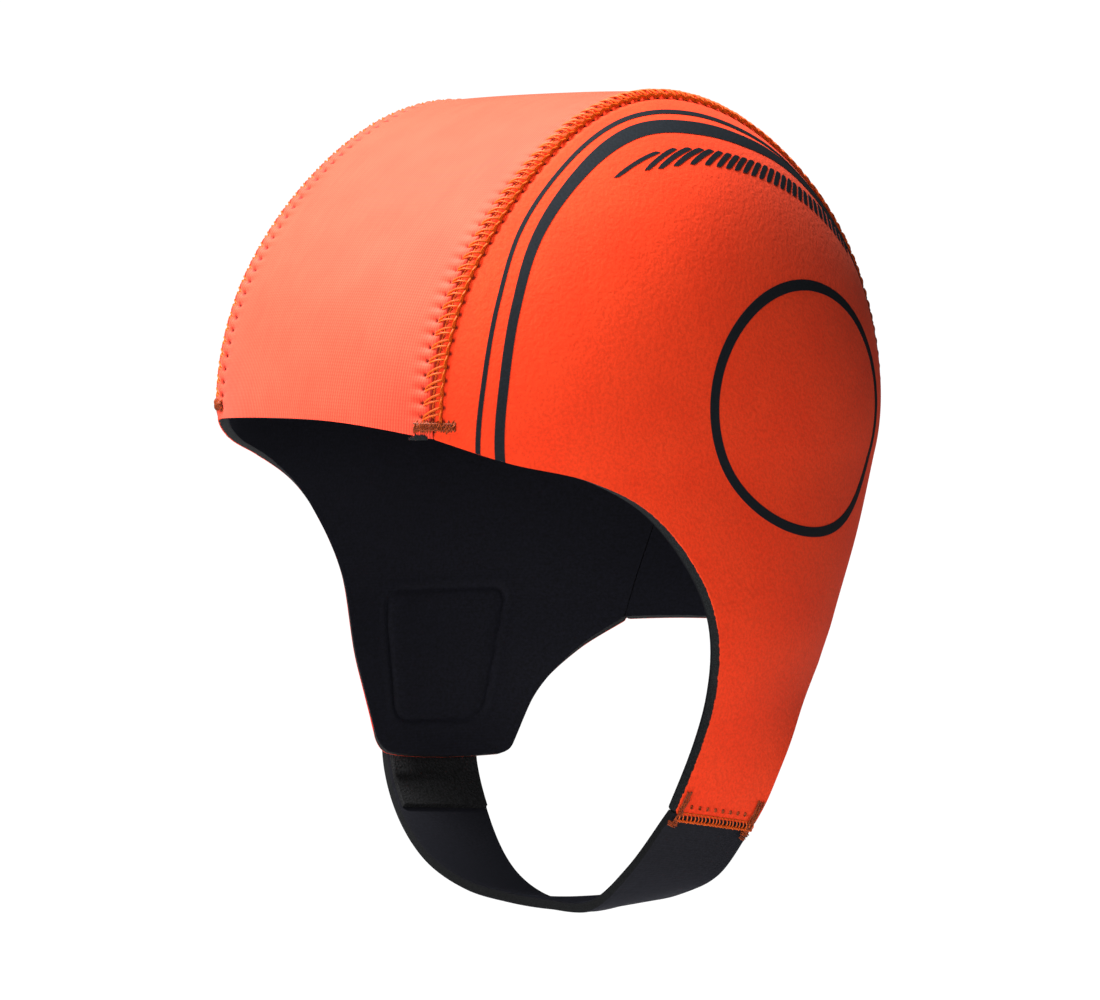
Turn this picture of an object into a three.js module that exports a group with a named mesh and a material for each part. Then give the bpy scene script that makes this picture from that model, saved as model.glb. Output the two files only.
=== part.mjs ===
import * as THREE from "three";

// A neoprene swim cap with a chin strap, in millimetres, in the form it has on a head.
// The front is -Y and the wearer's left is +X. The origin is the inside of the crown, where a head touches it.
const WALL = 3;
const SEAM_GAP = 0.3;
const FIT_GAP = 0.3;
const PATCH_SEAT = 0.5;
const PATCH_THICK = 1.2;
const STRAP_WIDTH = 31;

// The head form is drawn on a guide: a half ball over a cylinder, both of this radius.
// The equator is where they meet, just under the brow edge.
const GUIDE_RADIUS = 90;

// The middle line from the brow over the crown to the nape: reach is its distance from the ball's centre
// over the dome, and from the upright axis below the equator
const MIDDLE_LINE = [
  { place: "front", drop: 125, reach: 80.5 },
  { place: "front", drop: 95, reach: 81.5 },
  { place: "front", drop: 70, reach: 83 },
  { place: "front", drop: 45, reach: 84.5 },
  { place: "front", drop: 22, reach: 86.5 },
  { place: "dome", angle: 0, reach: 90 },
  { place: "dome", angle: 30, reach: 97 },
  { place: "dome", angle: 60, reach: 102.2 },
  { place: "dome", angle: 90, reach: 109.5 },
  { place: "dome", angle: 120, reach: 109 },
  { place: "dome", angle: 150, reach: 106.2 },
  { place: "dome", angle: 180, reach: 98 },
  { place: "rear", drop: 22, reach: 89.5 },
  { place: "rear", drop: 45, reach: 78.5 },
  { place: "rear", drop: 70, reach: 71.5 },
  { place: "rear", drop: 95, reach: 68.5 },
  { place: "rear", drop: 125, reach: 66.5 },
];

// Half of the width from ear to ear
const HALF_WIDTH = [
  { drop: 0, half: 80 },
  { drop: 22, half: 81.5 },
  { drop: 45, half: 82 },
  { drop: 70, half: 78 },
  { drop: 95, half: 73 },
  { drop: 125, half: 57 },
];

// Across the form: squareness 2 is an ellipse and more is boxier, strip is the centre panel's half width,
// and flatness 1 would level the centre panel with its seams
const CROSS_FORM = [
  { at: { place: "front", drop: 15 }, squareness: 2.17, strip: 47.5, flatness: 0.22 },
  { at: { place: "dome", angle: 45 }, squareness: 2.29, strip: 47.8, flatness: 0.85 },
  { at: { place: "dome", angle: 90 }, squareness: 2.6, strip: 44.8, flatness: 0.92 },
  { at: { place: "dome", angle: 135 }, squareness: 2.38, strip: 42.5, flatness: 0.4 },
  { at: { place: "dome", angle: 180 }, squareness: 2.24, strip: 41, flatness: 0.25 },
  { at: { place: "rear", drop: 45 }, squareness: 2.12, strip: 40, flatness: 0.15 },
  { at: { place: "rear", drop: 66 }, squareness: 2.06, strip: 40, flatness: 0.1 },
  { at: { place: "rear", drop: 92 }, squareness: 2.9, strip: 40, flatness: 0 },
];

// Where the centre panel's short edges cross its middle line and its seams
const BROW_EDGE = { middleRise: 12.4, leftSeamRise: 8.6, rightSeamRise: 12 };
const NAPE_EDGE = { middleDrop: 50.8, seamDrop: 52.3 };

// The cut edges of the side panels down to the ear flaps, with azimuth 0 at the brow, 90 at the ear and
// 180 at the nape. A negative drop lies above the equator. The left flap narrows to the strap that is
// sewn to it, and the right one is wide and carries the loop patch.
const SIDES = {
  left: {
    side: 1,
    browRise: BROW_EDGE.leftSeamRise,
    front: [
      { azimuth: 45, drop: -1 },
      { azimuth: 60, drop: 4.4 },
      { azimuth: 72, drop: 14.6 },
      { azimuth: 83.5, drop: 38 },
      { azimuth: 85.6, drop: 64 },
    ],
    rear: [
      { azimuth: 141, drop: 55 },
      { azimuth: 130, drop: 57 },
      { azimuth: 122.5, drop: 62.5 },
      { azimuth: 114.8, drop: 71 },
      { azimuth: 106.9, drop: 84.5 },
    ],
    end: { frontAzimuth: 79, frontDrop: 93.2, rearAzimuth: 103, rearDrop: 98.6, corner: 1, bow: 0 },
  },
  right: {
    side: -1,
    browRise: BROW_EDGE.rightSeamRise,
    front: [
      { azimuth: 45, drop: -4 },
      { azimuth: 60, drop: 3 },
      { azimuth: 72, drop: 14.2 },
      { azimuth: 83.5, drop: 38 },
      { azimuth: 85.7, drop: 64 },
    ],
    rear: [
      { azimuth: 138, drop: 62.5 },
      { azimuth: 129.5, drop: 73 },
    ],
    end: { frontAzimuth: 88.4, frontDrop: 89.4, rearAzimuth: 124.2, rearDrop: 92, corner: 6.5, bow: 1.7 },
  },
};

// The chin strap's middle line where it hangs free, from the left flap to the right one.
// Height is from the equator, and tilt turns the band about its own length.
const STRAP_FREE = [
  { x: 57.7, y: -1, height: -111.1, tilt: 4.8 },
  { x: 41.1, y: -0.5, height: -120.2, tilt: -2.4 },
  { x: 21.2, y: 1, height: -123.3, tilt: 1.8 },
  { x: 0.5, y: 3, height: -125.9, tilt: 10.2 },
  { x: -20.9, y: 5.5, height: -125.8, tilt: 13 },
  { x: -41.5, y: 8.6, height: -120.5, tilt: 10.4 },
  { x: -60.6, y: 14.2, height: -109.5, tilt: 5.1 },
];

// The rest of the strap lies on the outside of the right flap
const STRAP_ON_FLAP = [
  { azimuth: 105.8, drop: 92 },
  { azimuth: 106.5, drop: 78 },
  { azimuth: 107.5, drop: 64 },
  { azimuth: 108.5, drop: 50 },
];
const STRAP_END_CORNER = 5;

// The hook patch runs along the strap's inner face from its free end to below the flap
const HOOK_PATCH = { inset: 0.7, endInset: 1.5, belowFlap: 21 };

// The loop patch on the outside of the right flap, from its top row to its bottom row
const LOOP_PATCH = {
  top: { frontAzimuth: 94.4, rearAzimuth: 124, drop: 41.5 },
  bottom: { frontAzimuth: 93.6, rearAzimuth: 117.2, drop: 82.5 },
  corner: 5,
};

// How finely each surface is divided
const STEPS = {
  centre: { along: 32, across: 8 },
  side: { along: 32, down: 17 },
  strap: { along: 48, across: 6 },
  hook: { along: 18, across: 6 },
  loop: { down: 10, across: 6 },
};

const COLOURS = {
  orangeCentre: 0xf2603c,
  orangeSide: 0xe8451f,
  strapBlack: 0x1b1b20,
  hookBlack: 0x0f0f11,
  loopBlack: 0x17171a,
};

// A smooth curve through a table's rows, read as a function of one column
function curveThrough(rows, from, to, startSlope) {
  const x = rows.map(from);
  const y = rows.map(to);
  const last = x.length - 1;
  const chord = y.slice(1).map((value, i) => (value - y[i]) / (x[i + 1] - x[i]));
  const slope = x.map((_, i) => {
    if (i === 0) return startSlope ?? chord[0];
    if (i === last) return chord[last - 1];
    const before = x[i] - x[i - 1];
    const after = x[i + 1] - x[i];
    return (chord[i - 1] * after + chord[i] * before) / (before + after);
  });
  return (at) => {
    let i = 0;
    while (i < last - 1 && at > x[i + 1]) i += 1;
    const span = x[i + 1] - x[i];
    const t = (at - x[i]) / span;
    const start = (2 * t ** 3 - 3 * t ** 2 + 1) * y[i] + (t ** 3 - 2 * t ** 2 + t) * span * slope[i];
    const end = (3 * t ** 2 - 2 * t ** 3) * y[i + 1] + (t ** 3 - t ** 2) * span * slope[i + 1];
    return start + end;
  };
}

// Stations measure along the guide's middle line: below zero on the cylinder's front, then over the dome
const DOME_LENGTH = Math.PI * GUIDE_RADIUS;

function stationOf(row) {
  if (row.place === "front") return -row.drop;
  if (row.place === "rear") return DOME_LENGTH + row.drop;
  return THREE.MathUtils.degToRad(row.angle) * GUIDE_RADIUS;
}

const reachAt = curveThrough(MIDDLE_LINE, stationOf, (row) => row.reach);
const halfWidthAt = curveThrough(HALF_WIDTH, (row) => row.drop, (row) => row.half, 0);
const FIRST_FORM = stationOf(CROSS_FORM[0].at);
const LAST_FORM = stationOf(CROSS_FORM[CROSS_FORM.length - 1].at);

function crossForm(column) {
  const curve = curveThrough(CROSS_FORM, (row) => stationOf(row.at), (row) => row[column]);
  return (station) => curve(THREE.MathUtils.clamp(station, FIRST_FORM, LAST_FORM));
}

const squarenessAt = crossForm("squareness");
const stripAt = crossForm("strip");
const flatnessAt = crossForm("flatness");

// A point of the guide, pressed back onto it along its own radius
function onGuide(point) {
  const radial = new THREE.Vector3(point.x, point.y, Math.max(point.z, 0));
  radial.setLength(GUIDE_RADIUS);
  if (point.z < 0) radial.z = point.z;
  return radial;
}

function guidePoint(azimuth, drop) {
  const turn = THREE.MathUtils.degToRad(azimuth);
  return onGuide(new THREE.Vector3(GUIDE_RADIUS * Math.sin(turn), -GUIDE_RADIUS * Math.cos(turn), -drop));
}

// The outside of the head form over a point of the guide, from the ball's centre
function headPoint(guide) {
  const below = guide.z < 0;
  const direction = new THREE.Vector3(guide.x, guide.y, below ? 0 : guide.z).normalize();
  const domeStation = Math.atan2(guide.z, -guide.y) * GUIDE_RADIUS;
  const lowStation = guide.y < 0 ? guide.z : DOME_LENGTH - guide.z;
  const station = below ? lowStation : domeStation;
  const reach = reachAt(station);
  const half = halfWidthAt(below ? -guide.z : 0);
  const power = squarenessAt(station);
  const sideways = Math.abs(direction.x);
  const onward = Math.sqrt(Math.max(0, 1 - sideways ** 2));
  const radius = ((sideways / half) ** power + (onward / reach) ** power) ** (-1 / power);
  const point = direction.clone().multiplyScalar(radius);
  // Between the seams the cloth is pulled towards the straight line from seam to seam
  const seamReach = reach * (1 - (stripAt(station) / half) ** power) ** (1 / power);
  const pull = flatnessAt(station) * Math.max(0, radius * onward - seamReach);
  if (pull > 0) {
    const outward = new THREE.Vector3(0, direction.y, direction.z).normalize();
    point.addScaledVector(outward, -pull);
  }
  if (below) point.z += guide.z;
  return point;
}

// The crown's inside over the ball's centre is the origin
const EQUATOR_HEIGHT = WALL - headPoint(new THREE.Vector3(0, 0, GUIDE_RADIUS)).z;

// The same point from the origin
function formPoint(guide) {
  const point = headPoint(guide);
  point.z += EQUATOR_HEIGHT;
  return point;
}

// The form's outward normal, from four neighbours on the guide
function formNormal(guide) {
  const step = 1.5;
  const radial = new THREE.Vector3(guide.x, guide.y, Math.max(guide.z, 0)).normalize();
  const helper = Math.abs(radial.x) < 0.8 ? new THREE.Vector3(1, 0, 0) : new THREE.Vector3(0, 0, 1);
  const first = radial.clone().cross(helper).normalize();
  const second = radial.clone().cross(first).normalize();
  const slope = (along) => {
    const ahead = formPoint(onGuide(guide.clone().addScaledVector(along, step)));
    const behind = formPoint(onGuide(guide.clone().addScaledVector(along, -step)));
    return ahead.sub(behind);
  };
  const normal = slope(first).cross(slope(second)).normalize();
  return normal.dot(radial) < 0 ? normal.negate() : normal;
}

// A pair of points through a wall: both faces are given by their height over the form's outside
function wallAt(guide, innerFace, outerFace) {
  const point = formPoint(guide);
  const normal = formNormal(guide);
  return {
    inner: point.clone().addScaledVector(normal, innerFace),
    outer: point.clone().addScaledVector(normal, outerFace),
  };
}

// The guide's point at a station whose form point lies a given distance to the side
function guideBeside(station, sideways) {
  const angle = THREE.MathUtils.clamp(station / GUIDE_RADIUS, 0, Math.PI);
  const low = station < 0 ? station : Math.min(0, DOME_LENGTH - station);
  let lateral = Math.asin(sideways / 100);
  let guide;
  for (let pass = 0; pass < 8; pass += 1) {
    guide = new THREE.Vector3(
      Math.sin(lateral),
      -Math.cos(lateral) * Math.cos(angle),
      Math.cos(lateral) * Math.sin(angle),
    ).multiplyScalar(GUIDE_RADIUS);
    if (low < 0) guide.z = low;
    const reached = formPoint(guide).x;
    if (Math.abs(reached) < 1e-6) break;
    lateral = Math.asin(THREE.MathUtils.clamp((Math.sin(lateral) * sideways) / reached, -0.97, 0.97));
  }
  return guide;
}

// One closed body from a grid of wall pairs, with rims along its four edges
function sheetBody(grid) {
  const rows = grid.length;
  const columns = grid[0].length;
  const positions = [];
  for (const face of ["outer", "inner"]) {
    for (const row of grid) {
      for (const pair of row) positions.push(pair[face].x, pair[face].y, pair[face].z);
    }
  }
  const outer = (i, j) => i * columns + j;
  const inner = (i, j) => rows * columns + outer(i, j);
  const triangles = [];
  const quad = (a, b, c, d) => triangles.push(a, b, c, a, c, d);
  for (let i = 0; i < rows - 1; i += 1) {
    for (let j = 0; j < columns - 1; j += 1) {
      quad(outer(i, j), outer(i + 1, j), outer(i + 1, j + 1), outer(i, j + 1));
      quad(inner(i, j), inner(i, j + 1), inner(i + 1, j + 1), inner(i + 1, j));
    }
  }
  const right = columns - 1;
  const bottom = rows - 1;
  for (let i = 0; i < rows - 1; i += 1) {
    quad(outer(i, 0), inner(i, 0), inner(i + 1, 0), outer(i + 1, 0));
    quad(outer(i, right), outer(i + 1, right), inner(i + 1, right), inner(i, right));
  }
  for (let j = 0; j < columns - 1; j += 1) {
    quad(outer(0, j), outer(0, j + 1), inner(0, j + 1), inner(0, j));
    quad(outer(bottom, j), inner(bottom, j), inner(bottom, j + 1), outer(bottom, j + 1));
  }
  const geometry = new THREE.BufferGeometry();
  geometry.setAttribute("position", new THREE.Float32BufferAttribute(positions, 3));
  geometry.setIndex(signedVolume(positions, triangles) < 0 ? triangles.reverse() : triangles);
  geometry.computeVertexNormals();
  return geometry;
}

function signedVolume(positions, triangles) {
  const corner = (index) => new THREE.Vector3().fromArray(positions, 3 * index);
  let volume = 0;
  for (let i = 0; i < triangles.length; i += 3) {
    const [a, b, c] = [corner(triangles[i]), corner(triangles[i + 1]), corner(triangles[i + 2])];
    volume += a.dot(b.cross(c)) / 6;
  }
  return volume;
}

// A table of steps + 1 rows or columns, filled from fractions 0 to 1
function fillGrid(rowSteps, columnSteps, pairAt) {
  return Array.from({ length: rowSteps + 1 }, (_, i) =>
    Array.from({ length: columnSteps + 1 }, (_, j) => pairAt(i / rowSteps, j / columnSteps)),
  );
}

function centrePanel() {
  const { along, across } = STEPS.centre;
  const grid = fillGrid(along, across, (down, over) => {
    const side = 2 * over - 1;
    const seamRise = side < 0 ? BROW_EDGE.rightSeamRise : BROW_EDGE.leftSeamRise;
    const brow = THREE.MathUtils.lerp(BROW_EDGE.middleRise, seamRise, side ** 2);
    const nape = DOME_LENGTH + THREE.MathUtils.lerp(NAPE_EDGE.middleDrop, NAPE_EDGE.seamDrop, side ** 2);
    const station = THREE.MathUtils.lerp(brow, nape, down);
    const sideways = side * (stripAt(station) - SEAM_GAP / 2);
    return wallAt(guideBeside(station, sideways), -WALL, 0);
  });
  return sheetBody(grid);
}

// The lower end of a flap on the unrolled guide, from its front to its rear, bowed between rounded corners
function flapEnd(end, steps) {
  const unrolled = (azimuth) => THREE.MathUtils.degToRad(azimuth) * GUIDE_RADIUS;
  const front = unrolled(end.frontAzimuth);
  const width = unrolled(end.rearAzimuth) - front;
  const slant = (end.rearDrop - end.frontDrop) / width;
  const { corner } = end;
  const path = new THREE.Path();
  path.moveTo(0, corner);
  path.absarc(corner, corner, corner, Math.PI, 1.5 * Math.PI, false);
  path.lineTo(width - corner, 0);
  path.absarc(width - corner, corner, corner, 1.5 * Math.PI, 2 * Math.PI, false);
  return path.getSpacedPoints(steps).map((point) => {
    const azimuth = THREE.MathUtils.radToDeg((front + point.x) / GUIDE_RADIUS);
    const share = point.x / width;
    const bowed = 4 * end.bow * share * (1 - share);
    return guidePoint(azimuth, end.frontDrop + slant * point.x + bowed - point.y);
  });
}

// A side panel is blended from its four edges: the seam, the front edge, the rear edge and the flap's end
function sidePanel(form) {
  const { along, down } = STEPS.side;
  const seam = Array.from({ length: along + 1 }, (_, i) => {
    const nape = DOME_LENGTH + NAPE_EDGE.seamDrop;
    const station = THREE.MathUtils.lerp(form.browRise, nape, i / along);
    return guideBeside(station, stripAt(station) + SEAM_GAP / 2);
  });
  const end = flapEnd(form.end, along);
  const edgeCurve = (start, rows, stop) => {
    const between = rows.map((row) => guidePoint(row.azimuth, row.drop));
    return new THREE.CatmullRomCurve3([start, ...between, stop], false, "centripetal");
  };
  const front = edgeCurve(seam[0], form.front, end[0]);
  const rear = edgeCurve(seam[along], form.rear, end[along]);
  const blend = (a, b, t) => a.clone().lerp(b, t);
  const grid = fillGrid(along, down, (u, v) => {
    const i = Math.round(u * along);
    const fromSeam = blend(seam[i], end[i], v);
    const fromEdges = blend(front.getPointAt(v), rear.getPointAt(v), u);
    const fromCorners = blend(blend(seam[0], seam[along], u), blend(end[0], end[along], u), v);
    const guide = onGuide(fromSeam.add(fromEdges).sub(fromCorners));
    const pair = wallAt(guide, -WALL, 0);
    pair.inner.x *= form.side;
    pair.outer.x *= form.side;
    return pair;
  });
  return sheetBody(grid);
}

// Half of the strap's width near its rounded end, at a distance from that end
function roundedHalf(half, corner, distance) {
  const missing = Math.max(0, corner - distance);
  return half - corner + Math.sqrt(corner ** 2 - missing ** 2);
}

// Sections of the strap from the left flap to the free end, each with one pair of points per column
function strapSections() {
  const columns = Array.from({ length: STEPS.strap.across + 1 }, (_, j) => (2 * j) / STEPS.strap.across - 1);
  const { end } = SIDES.left;
  const sewnEnd = columns.map((side) => {
    const azimuth = THREE.MathUtils.lerp(end.frontAzimuth, end.rearAzimuth, (side + 1) / 2);
    const drop = THREE.MathUtils.lerp(end.frontDrop, end.rearDrop, (side + 1) / 2);
    return wallAt(guidePoint(azimuth, drop + SEAM_GAP), -WALL, 0);
  });
  const middle = STRAP_FREE.map((row) => new THREE.Vector3(row.x, row.y, row.height + EQUATOR_HEIGHT));
  const freeRows = STRAP_FREE.map((row, k) => {
    const before = middle[Math.max(0, k - 1)];
    const after = middle[Math.min(middle.length - 1, k + 1)];
    const along = after.clone().sub(before).normalize();
    const backward = new THREE.Vector3(0, 1, 0).addScaledVector(along, -along.y).normalize();
    const across = backward.applyAxisAngle(along, THREE.MathUtils.degToRad(row.tilt));
    const outward = along.clone().cross(across);
    return columns.map((side) => {
      const centre = middle[k].clone().addScaledVector(across, (side * STRAP_WIDTH) / 2);
      return {
        inner: centre.clone().addScaledVector(outward, -WALL / 2),
        outer: centre.clone().addScaledVector(outward, WALL / 2),
      };
    });
  });
  const seat = PATCH_SEAT + 2 * FIT_GAP + 2 * PATCH_THICK;
  const flapRows = STRAP_ON_FLAP.map((row) => columns.map((side) => {
    const beside = guidePoint(row.azimuth, row.drop);
    const radius = Math.hypot(formPoint(beside).x, formPoint(beside).y) + seat + WALL / 2;
    const turn = THREE.MathUtils.radToDeg((side * STRAP_WIDTH) / 2 / radius);
    const pair = wallAt(guidePoint(row.azimuth + turn, row.drop), seat, seat + WALL);
    pair.inner.x *= -1;
    pair.outer.x *= -1;
    return pair;
  }));
  return [sewnEnd, ...freeRows, ...flapRows];
}

// The strap's faces as smooth curves along its length, one for each column and face
function strapCurves() {
  const sections = strapSections();
  return sections[0].map((_, column) => {
    const through = (face) =>
      new THREE.CatmullRomCurve3(sections.map((section) => section[column][face]), false, "centripetal");
    return { inner: through("inner"), outer: through("outer") };
  });
}

const STRAP_CURVES = strapCurves();
const STRAP_MIDDLE = STRAP_CURVES[STEPS.strap.across / 2].inner;
const STRAP_LENGTH = STRAP_MIDDLE.getLength();

// A pair of points on the strap: side runs from -1 at the front edge to 1 at the rear edge
function strapPair(along, side) {
  const place = ((side + 1) / 2) * STEPS.strap.across;
  const column = Math.min(STEPS.strap.across - 1, Math.floor(place));
  const between = (face) => {
    const near = STRAP_CURVES[column][face].getPointAt(along);
    const far = STRAP_CURVES[column + 1][face].getPointAt(along);
    return near.lerp(far, place - column);
  };
  return { inner: between("inner"), outer: between("outer") };
}

function chinStrap() {
  const { along, across } = STEPS.strap;
  const half = STRAP_WIDTH / 2;
  // Rows crowd towards the rounded end
  const straight = 1 - STRAP_END_CORNER / STRAP_LENGTH;
  const roundSteps = 4;
  const rowPlaces = Array.from({ length: along + 1 }, (_, i) => {
    if (i <= along - roundSteps) return (straight * i) / (along - roundSteps);
    const turn = ((i - along + roundSteps) / roundSteps) * (Math.PI / 2);
    return THREE.MathUtils.lerp(straight, 1, Math.sin(turn));
  });
  const grid = fillGrid(along, across, (u, v) => {
    const place = rowPlaces[Math.round(u * along)];
    const width = roundedHalf(half, STRAP_END_CORNER, (1 - place) * STRAP_LENGTH) / half;
    return strapPair(place, (2 * v - 1) * width);
  });
  return sheetBody(grid);
}

function hookPatch() {
  const { along, across } = STEPS.hook;
  const flapLength = STRAP_ON_FLAP[0].drop - STRAP_ON_FLAP[STRAP_ON_FLAP.length - 1].drop;
  const first = 1 - (flapLength + HOOK_PATCH.belowFlap) / STRAP_LENGTH;
  const last = 1 - HOOK_PATCH.endInset / STRAP_LENGTH;
  const half = STRAP_WIDTH / 2 - HOOK_PATCH.inset;
  const corner = STRAP_END_CORNER - HOOK_PATCH.inset;
  const grid = fillGrid(along, across, (u, v) => {
    const place = THREE.MathUtils.lerp(first, last, u);
    const width = roundedHalf(half, corner, (last - place) * STRAP_LENGTH) / (STRAP_WIDTH / 2);
    const { inner, outer } = strapPair(place, (2 * v - 1) * width);
    const inward = inner.clone().sub(outer).normalize();
    return {
      outer: inner.clone().addScaledVector(inward, FIT_GAP),
      inner: inner.clone().addScaledVector(inward, FIT_GAP + PATCH_THICK),
    };
  });
  return sheetBody(grid);
}

function loopPatch() {
  const { down, across } = STEPS.loop;
  const { top, bottom, corner } = LOOP_PATCH;
  const height = bottom.drop - top.drop;
  // Rows crowd towards both rounded ends
  const rowPlace = (u) => (1 - Math.cos(Math.PI * u)) / 2;
  const grid = fillGrid(down, across, (u, v) => {
    const place = rowPlace(u);
    const front = THREE.MathUtils.lerp(top.frontAzimuth, bottom.frontAzimuth, place);
    const rear = THREE.MathUtils.lerp(top.rearAzimuth, bottom.rearAzimuth, place);
    const half = ((rear - front) / 2) * THREE.MathUtils.DEG2RAD * GUIDE_RADIUS;
    const fromEnd = Math.min(place, 1 - place) * height;
    const width = roundedHalf(half, corner, fromEnd) / half;
    const azimuth = (front + rear) / 2 + ((2 * v - 1) * width * (rear - front)) / 2;
    const drop = THREE.MathUtils.lerp(top.drop, bottom.drop, place);
    const pair = wallAt(guidePoint(azimuth, drop), PATCH_SEAT, PATCH_SEAT + PATCH_THICK);
    pair.inner.x *= -1;
    pair.outer.x *= -1;
    return pair;
  });
  return sheetBody(grid);
}

function piece(name, geometry, colour, roughness) {
  const material = new THREE.MeshStandardMaterial({ color: colour, roughness, metalness: 0 });
  const mesh = new THREE.Mesh(geometry, material);
  mesh.name = name;
  return mesh;
}

const swimCap = new THREE.Group();
swimCap.add(
  piece("centre_panel", centrePanel(), COLOURS.orangeCentre, 0.8),
  piece("left_side_panel", sidePanel(SIDES.left), COLOURS.orangeSide, 0.85),
  piece("right_side_panel", sidePanel(SIDES.right), COLOURS.orangeSide, 0.85),
  piece("chin_strap", chinStrap(), COLOURS.strapBlack, 0.85),
  piece("hook_patch", hookPatch(), COLOURS.hookBlack, 0.95),
  piece("loop_patch", loopPatch(), COLOURS.loopBlack, 0.95),
);

export default swimCap;
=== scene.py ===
import math

import bpy
import numpy as np
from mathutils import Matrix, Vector


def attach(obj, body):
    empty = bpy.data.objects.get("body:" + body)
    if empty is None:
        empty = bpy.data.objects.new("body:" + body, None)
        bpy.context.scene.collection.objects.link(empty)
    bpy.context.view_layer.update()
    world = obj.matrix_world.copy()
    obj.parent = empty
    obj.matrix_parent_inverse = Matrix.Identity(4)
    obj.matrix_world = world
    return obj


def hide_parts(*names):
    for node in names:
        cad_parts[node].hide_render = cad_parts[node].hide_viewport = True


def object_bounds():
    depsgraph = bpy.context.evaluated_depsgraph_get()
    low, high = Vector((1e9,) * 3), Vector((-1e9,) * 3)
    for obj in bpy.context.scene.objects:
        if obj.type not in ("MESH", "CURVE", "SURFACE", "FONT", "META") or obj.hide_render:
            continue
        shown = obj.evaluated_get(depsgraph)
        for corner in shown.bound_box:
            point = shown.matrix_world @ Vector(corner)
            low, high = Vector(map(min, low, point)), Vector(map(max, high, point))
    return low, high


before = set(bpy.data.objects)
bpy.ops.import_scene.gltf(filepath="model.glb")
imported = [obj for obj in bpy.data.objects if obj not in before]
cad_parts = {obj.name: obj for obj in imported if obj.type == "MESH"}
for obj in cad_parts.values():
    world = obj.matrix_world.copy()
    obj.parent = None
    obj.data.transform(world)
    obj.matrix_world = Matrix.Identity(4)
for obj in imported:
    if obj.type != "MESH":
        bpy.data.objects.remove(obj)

# A neoprene swim cap with a chin strap. Lengths here are millimetres, and meshes are made in metres.
MM = 0.001
CAD_LOW, CAD_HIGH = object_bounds()

WALL = 3
SEAM_GAP = 0.3
FIT_GAP = 0.3
PATCH_SEAT = 0.5
PATCH_THICK = 1.2
STRAP_WIDTH = 31
RADIUS = 90
DOME = math.pi * RADIUS


def dome(angle):
    """The station at an angle over the dome, from the brow's side"""
    return math.radians(angle) * RADIUS


# The middle line of the head form from the brow to the nape: (station, reach). Stations run along a guide of a
# half ball over a cylinder: below zero on the front of the cylinder, over the dome, and past it behind.
MIDDLE_LINE = [
    (-125, 80.5),
    (-95, 81.5),
    (-70, 83),
    (-45, 84.5),
    (-22, 86.5),
    (dome(0), 90),
    (dome(30), 97),
    (dome(60), 102.2),
    (dome(90), 109.5),
    (dome(120), 109),
    (dome(150), 106.2),
    (dome(180), 98),
    (DOME + 22, 89.5),
    (DOME + 45, 78.5),
    (DOME + 70, 71.5),
    (DOME + 95, 68.5),
    (DOME + 125, 66.5),
]
# Half of the width from ear to ear: (drop under the equator, half width)
HALF_WIDTH = [(0, 80), (22, 81.5), (45, 82), (70, 78), (95, 73), (125, 57)]
# Across the form: (station, squareness, half width of the centre panel, flatness between the seams)
CROSS_FORM = [
    (-15, 2.17, 47.5, 0.22),
    (dome(45), 2.29, 47.8, 0.85),
    (dome(90), 2.6, 44.8, 0.92),
    (dome(135), 2.38, 42.5, 0.4),
    (dome(180), 2.24, 41, 0.25),
    (DOME + 45, 2.12, 40, 0.15),
    (DOME + 66, 2.06, 40, 0.1),
    (DOME + 92, 2.9, 40, 0),
]
BROW = {"middle": 12.4, "left": 8.6, "right": 12}
NAPE = {"middle": DOME + 50.2, "seam": DOME + 51.8}

# Cut edges of the side panels and their flaps: (azimuth, drop), azimuth 0 at the brow and 180 at the nape
SIDES = {
    "left": {
        "side": 1,
        "front": [(45, -1), (60, 4.4), (72, 14.6), (83.5, 38), (85.6, 64)],
        "rear": [(141, 55), (130, 57), (122.5, 62.5), (114.8, 71), (106.9, 84.5)],
        "end": {"front": (79, 93.2), "rear": (103, 98.6), "corner": 1, "bow": 0},
    },
    "right": {
        "side": -1,
        "front": [(45, -4), (60, 3), (72, 14.2), (83.5, 38), (85.7, 64)],
        "rear": [(138, 61.3), (129.5, 72.2)],
        "end": {"front": (88.4, 89.4), "rear": (124.2, 92), "corner": 6.5, "bow": 1.7},
    },
}

# The strap's middle line where it hangs free: (x, y, height from the equator, tilt)
STRAP_FREE = [
    (57.7, -1, -111.1, 4.8),
    (41.1, -0.5, -120.2, -2.4),
    (21.2, 1, -123.3, 1.8),
    (0.5, 3, -125.9, 10.2),
    (-20.9, 5.5, -125.8, 13),
    (-41.5, 8.6, -120.5, 10.4),
    (-60.6, 14.2, -109.5, 5.1),
]
# and where it lies on the right flap: (azimuth, drop)
STRAP_ON_FLAP = [(105.8, 92), (106.5, 78), (107.5, 64), (108.5, 50)]
STRAP_CORNER = 5
HOOK_INSET = 0.7
HOOK_OFF_STRAP = 0.09
HOOK_END_INSET = 1.5
HOOK_BELOW_FLAP = 21
# The loop patch on the right flap: (front azimuth, rear azimuth, drop)
LOOP_TOP = (94.4, 124, 41.5)
LOOP_BOTTOM = (93.6, 117.2, 82.5)
LOOP_CORNER = 5

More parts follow.
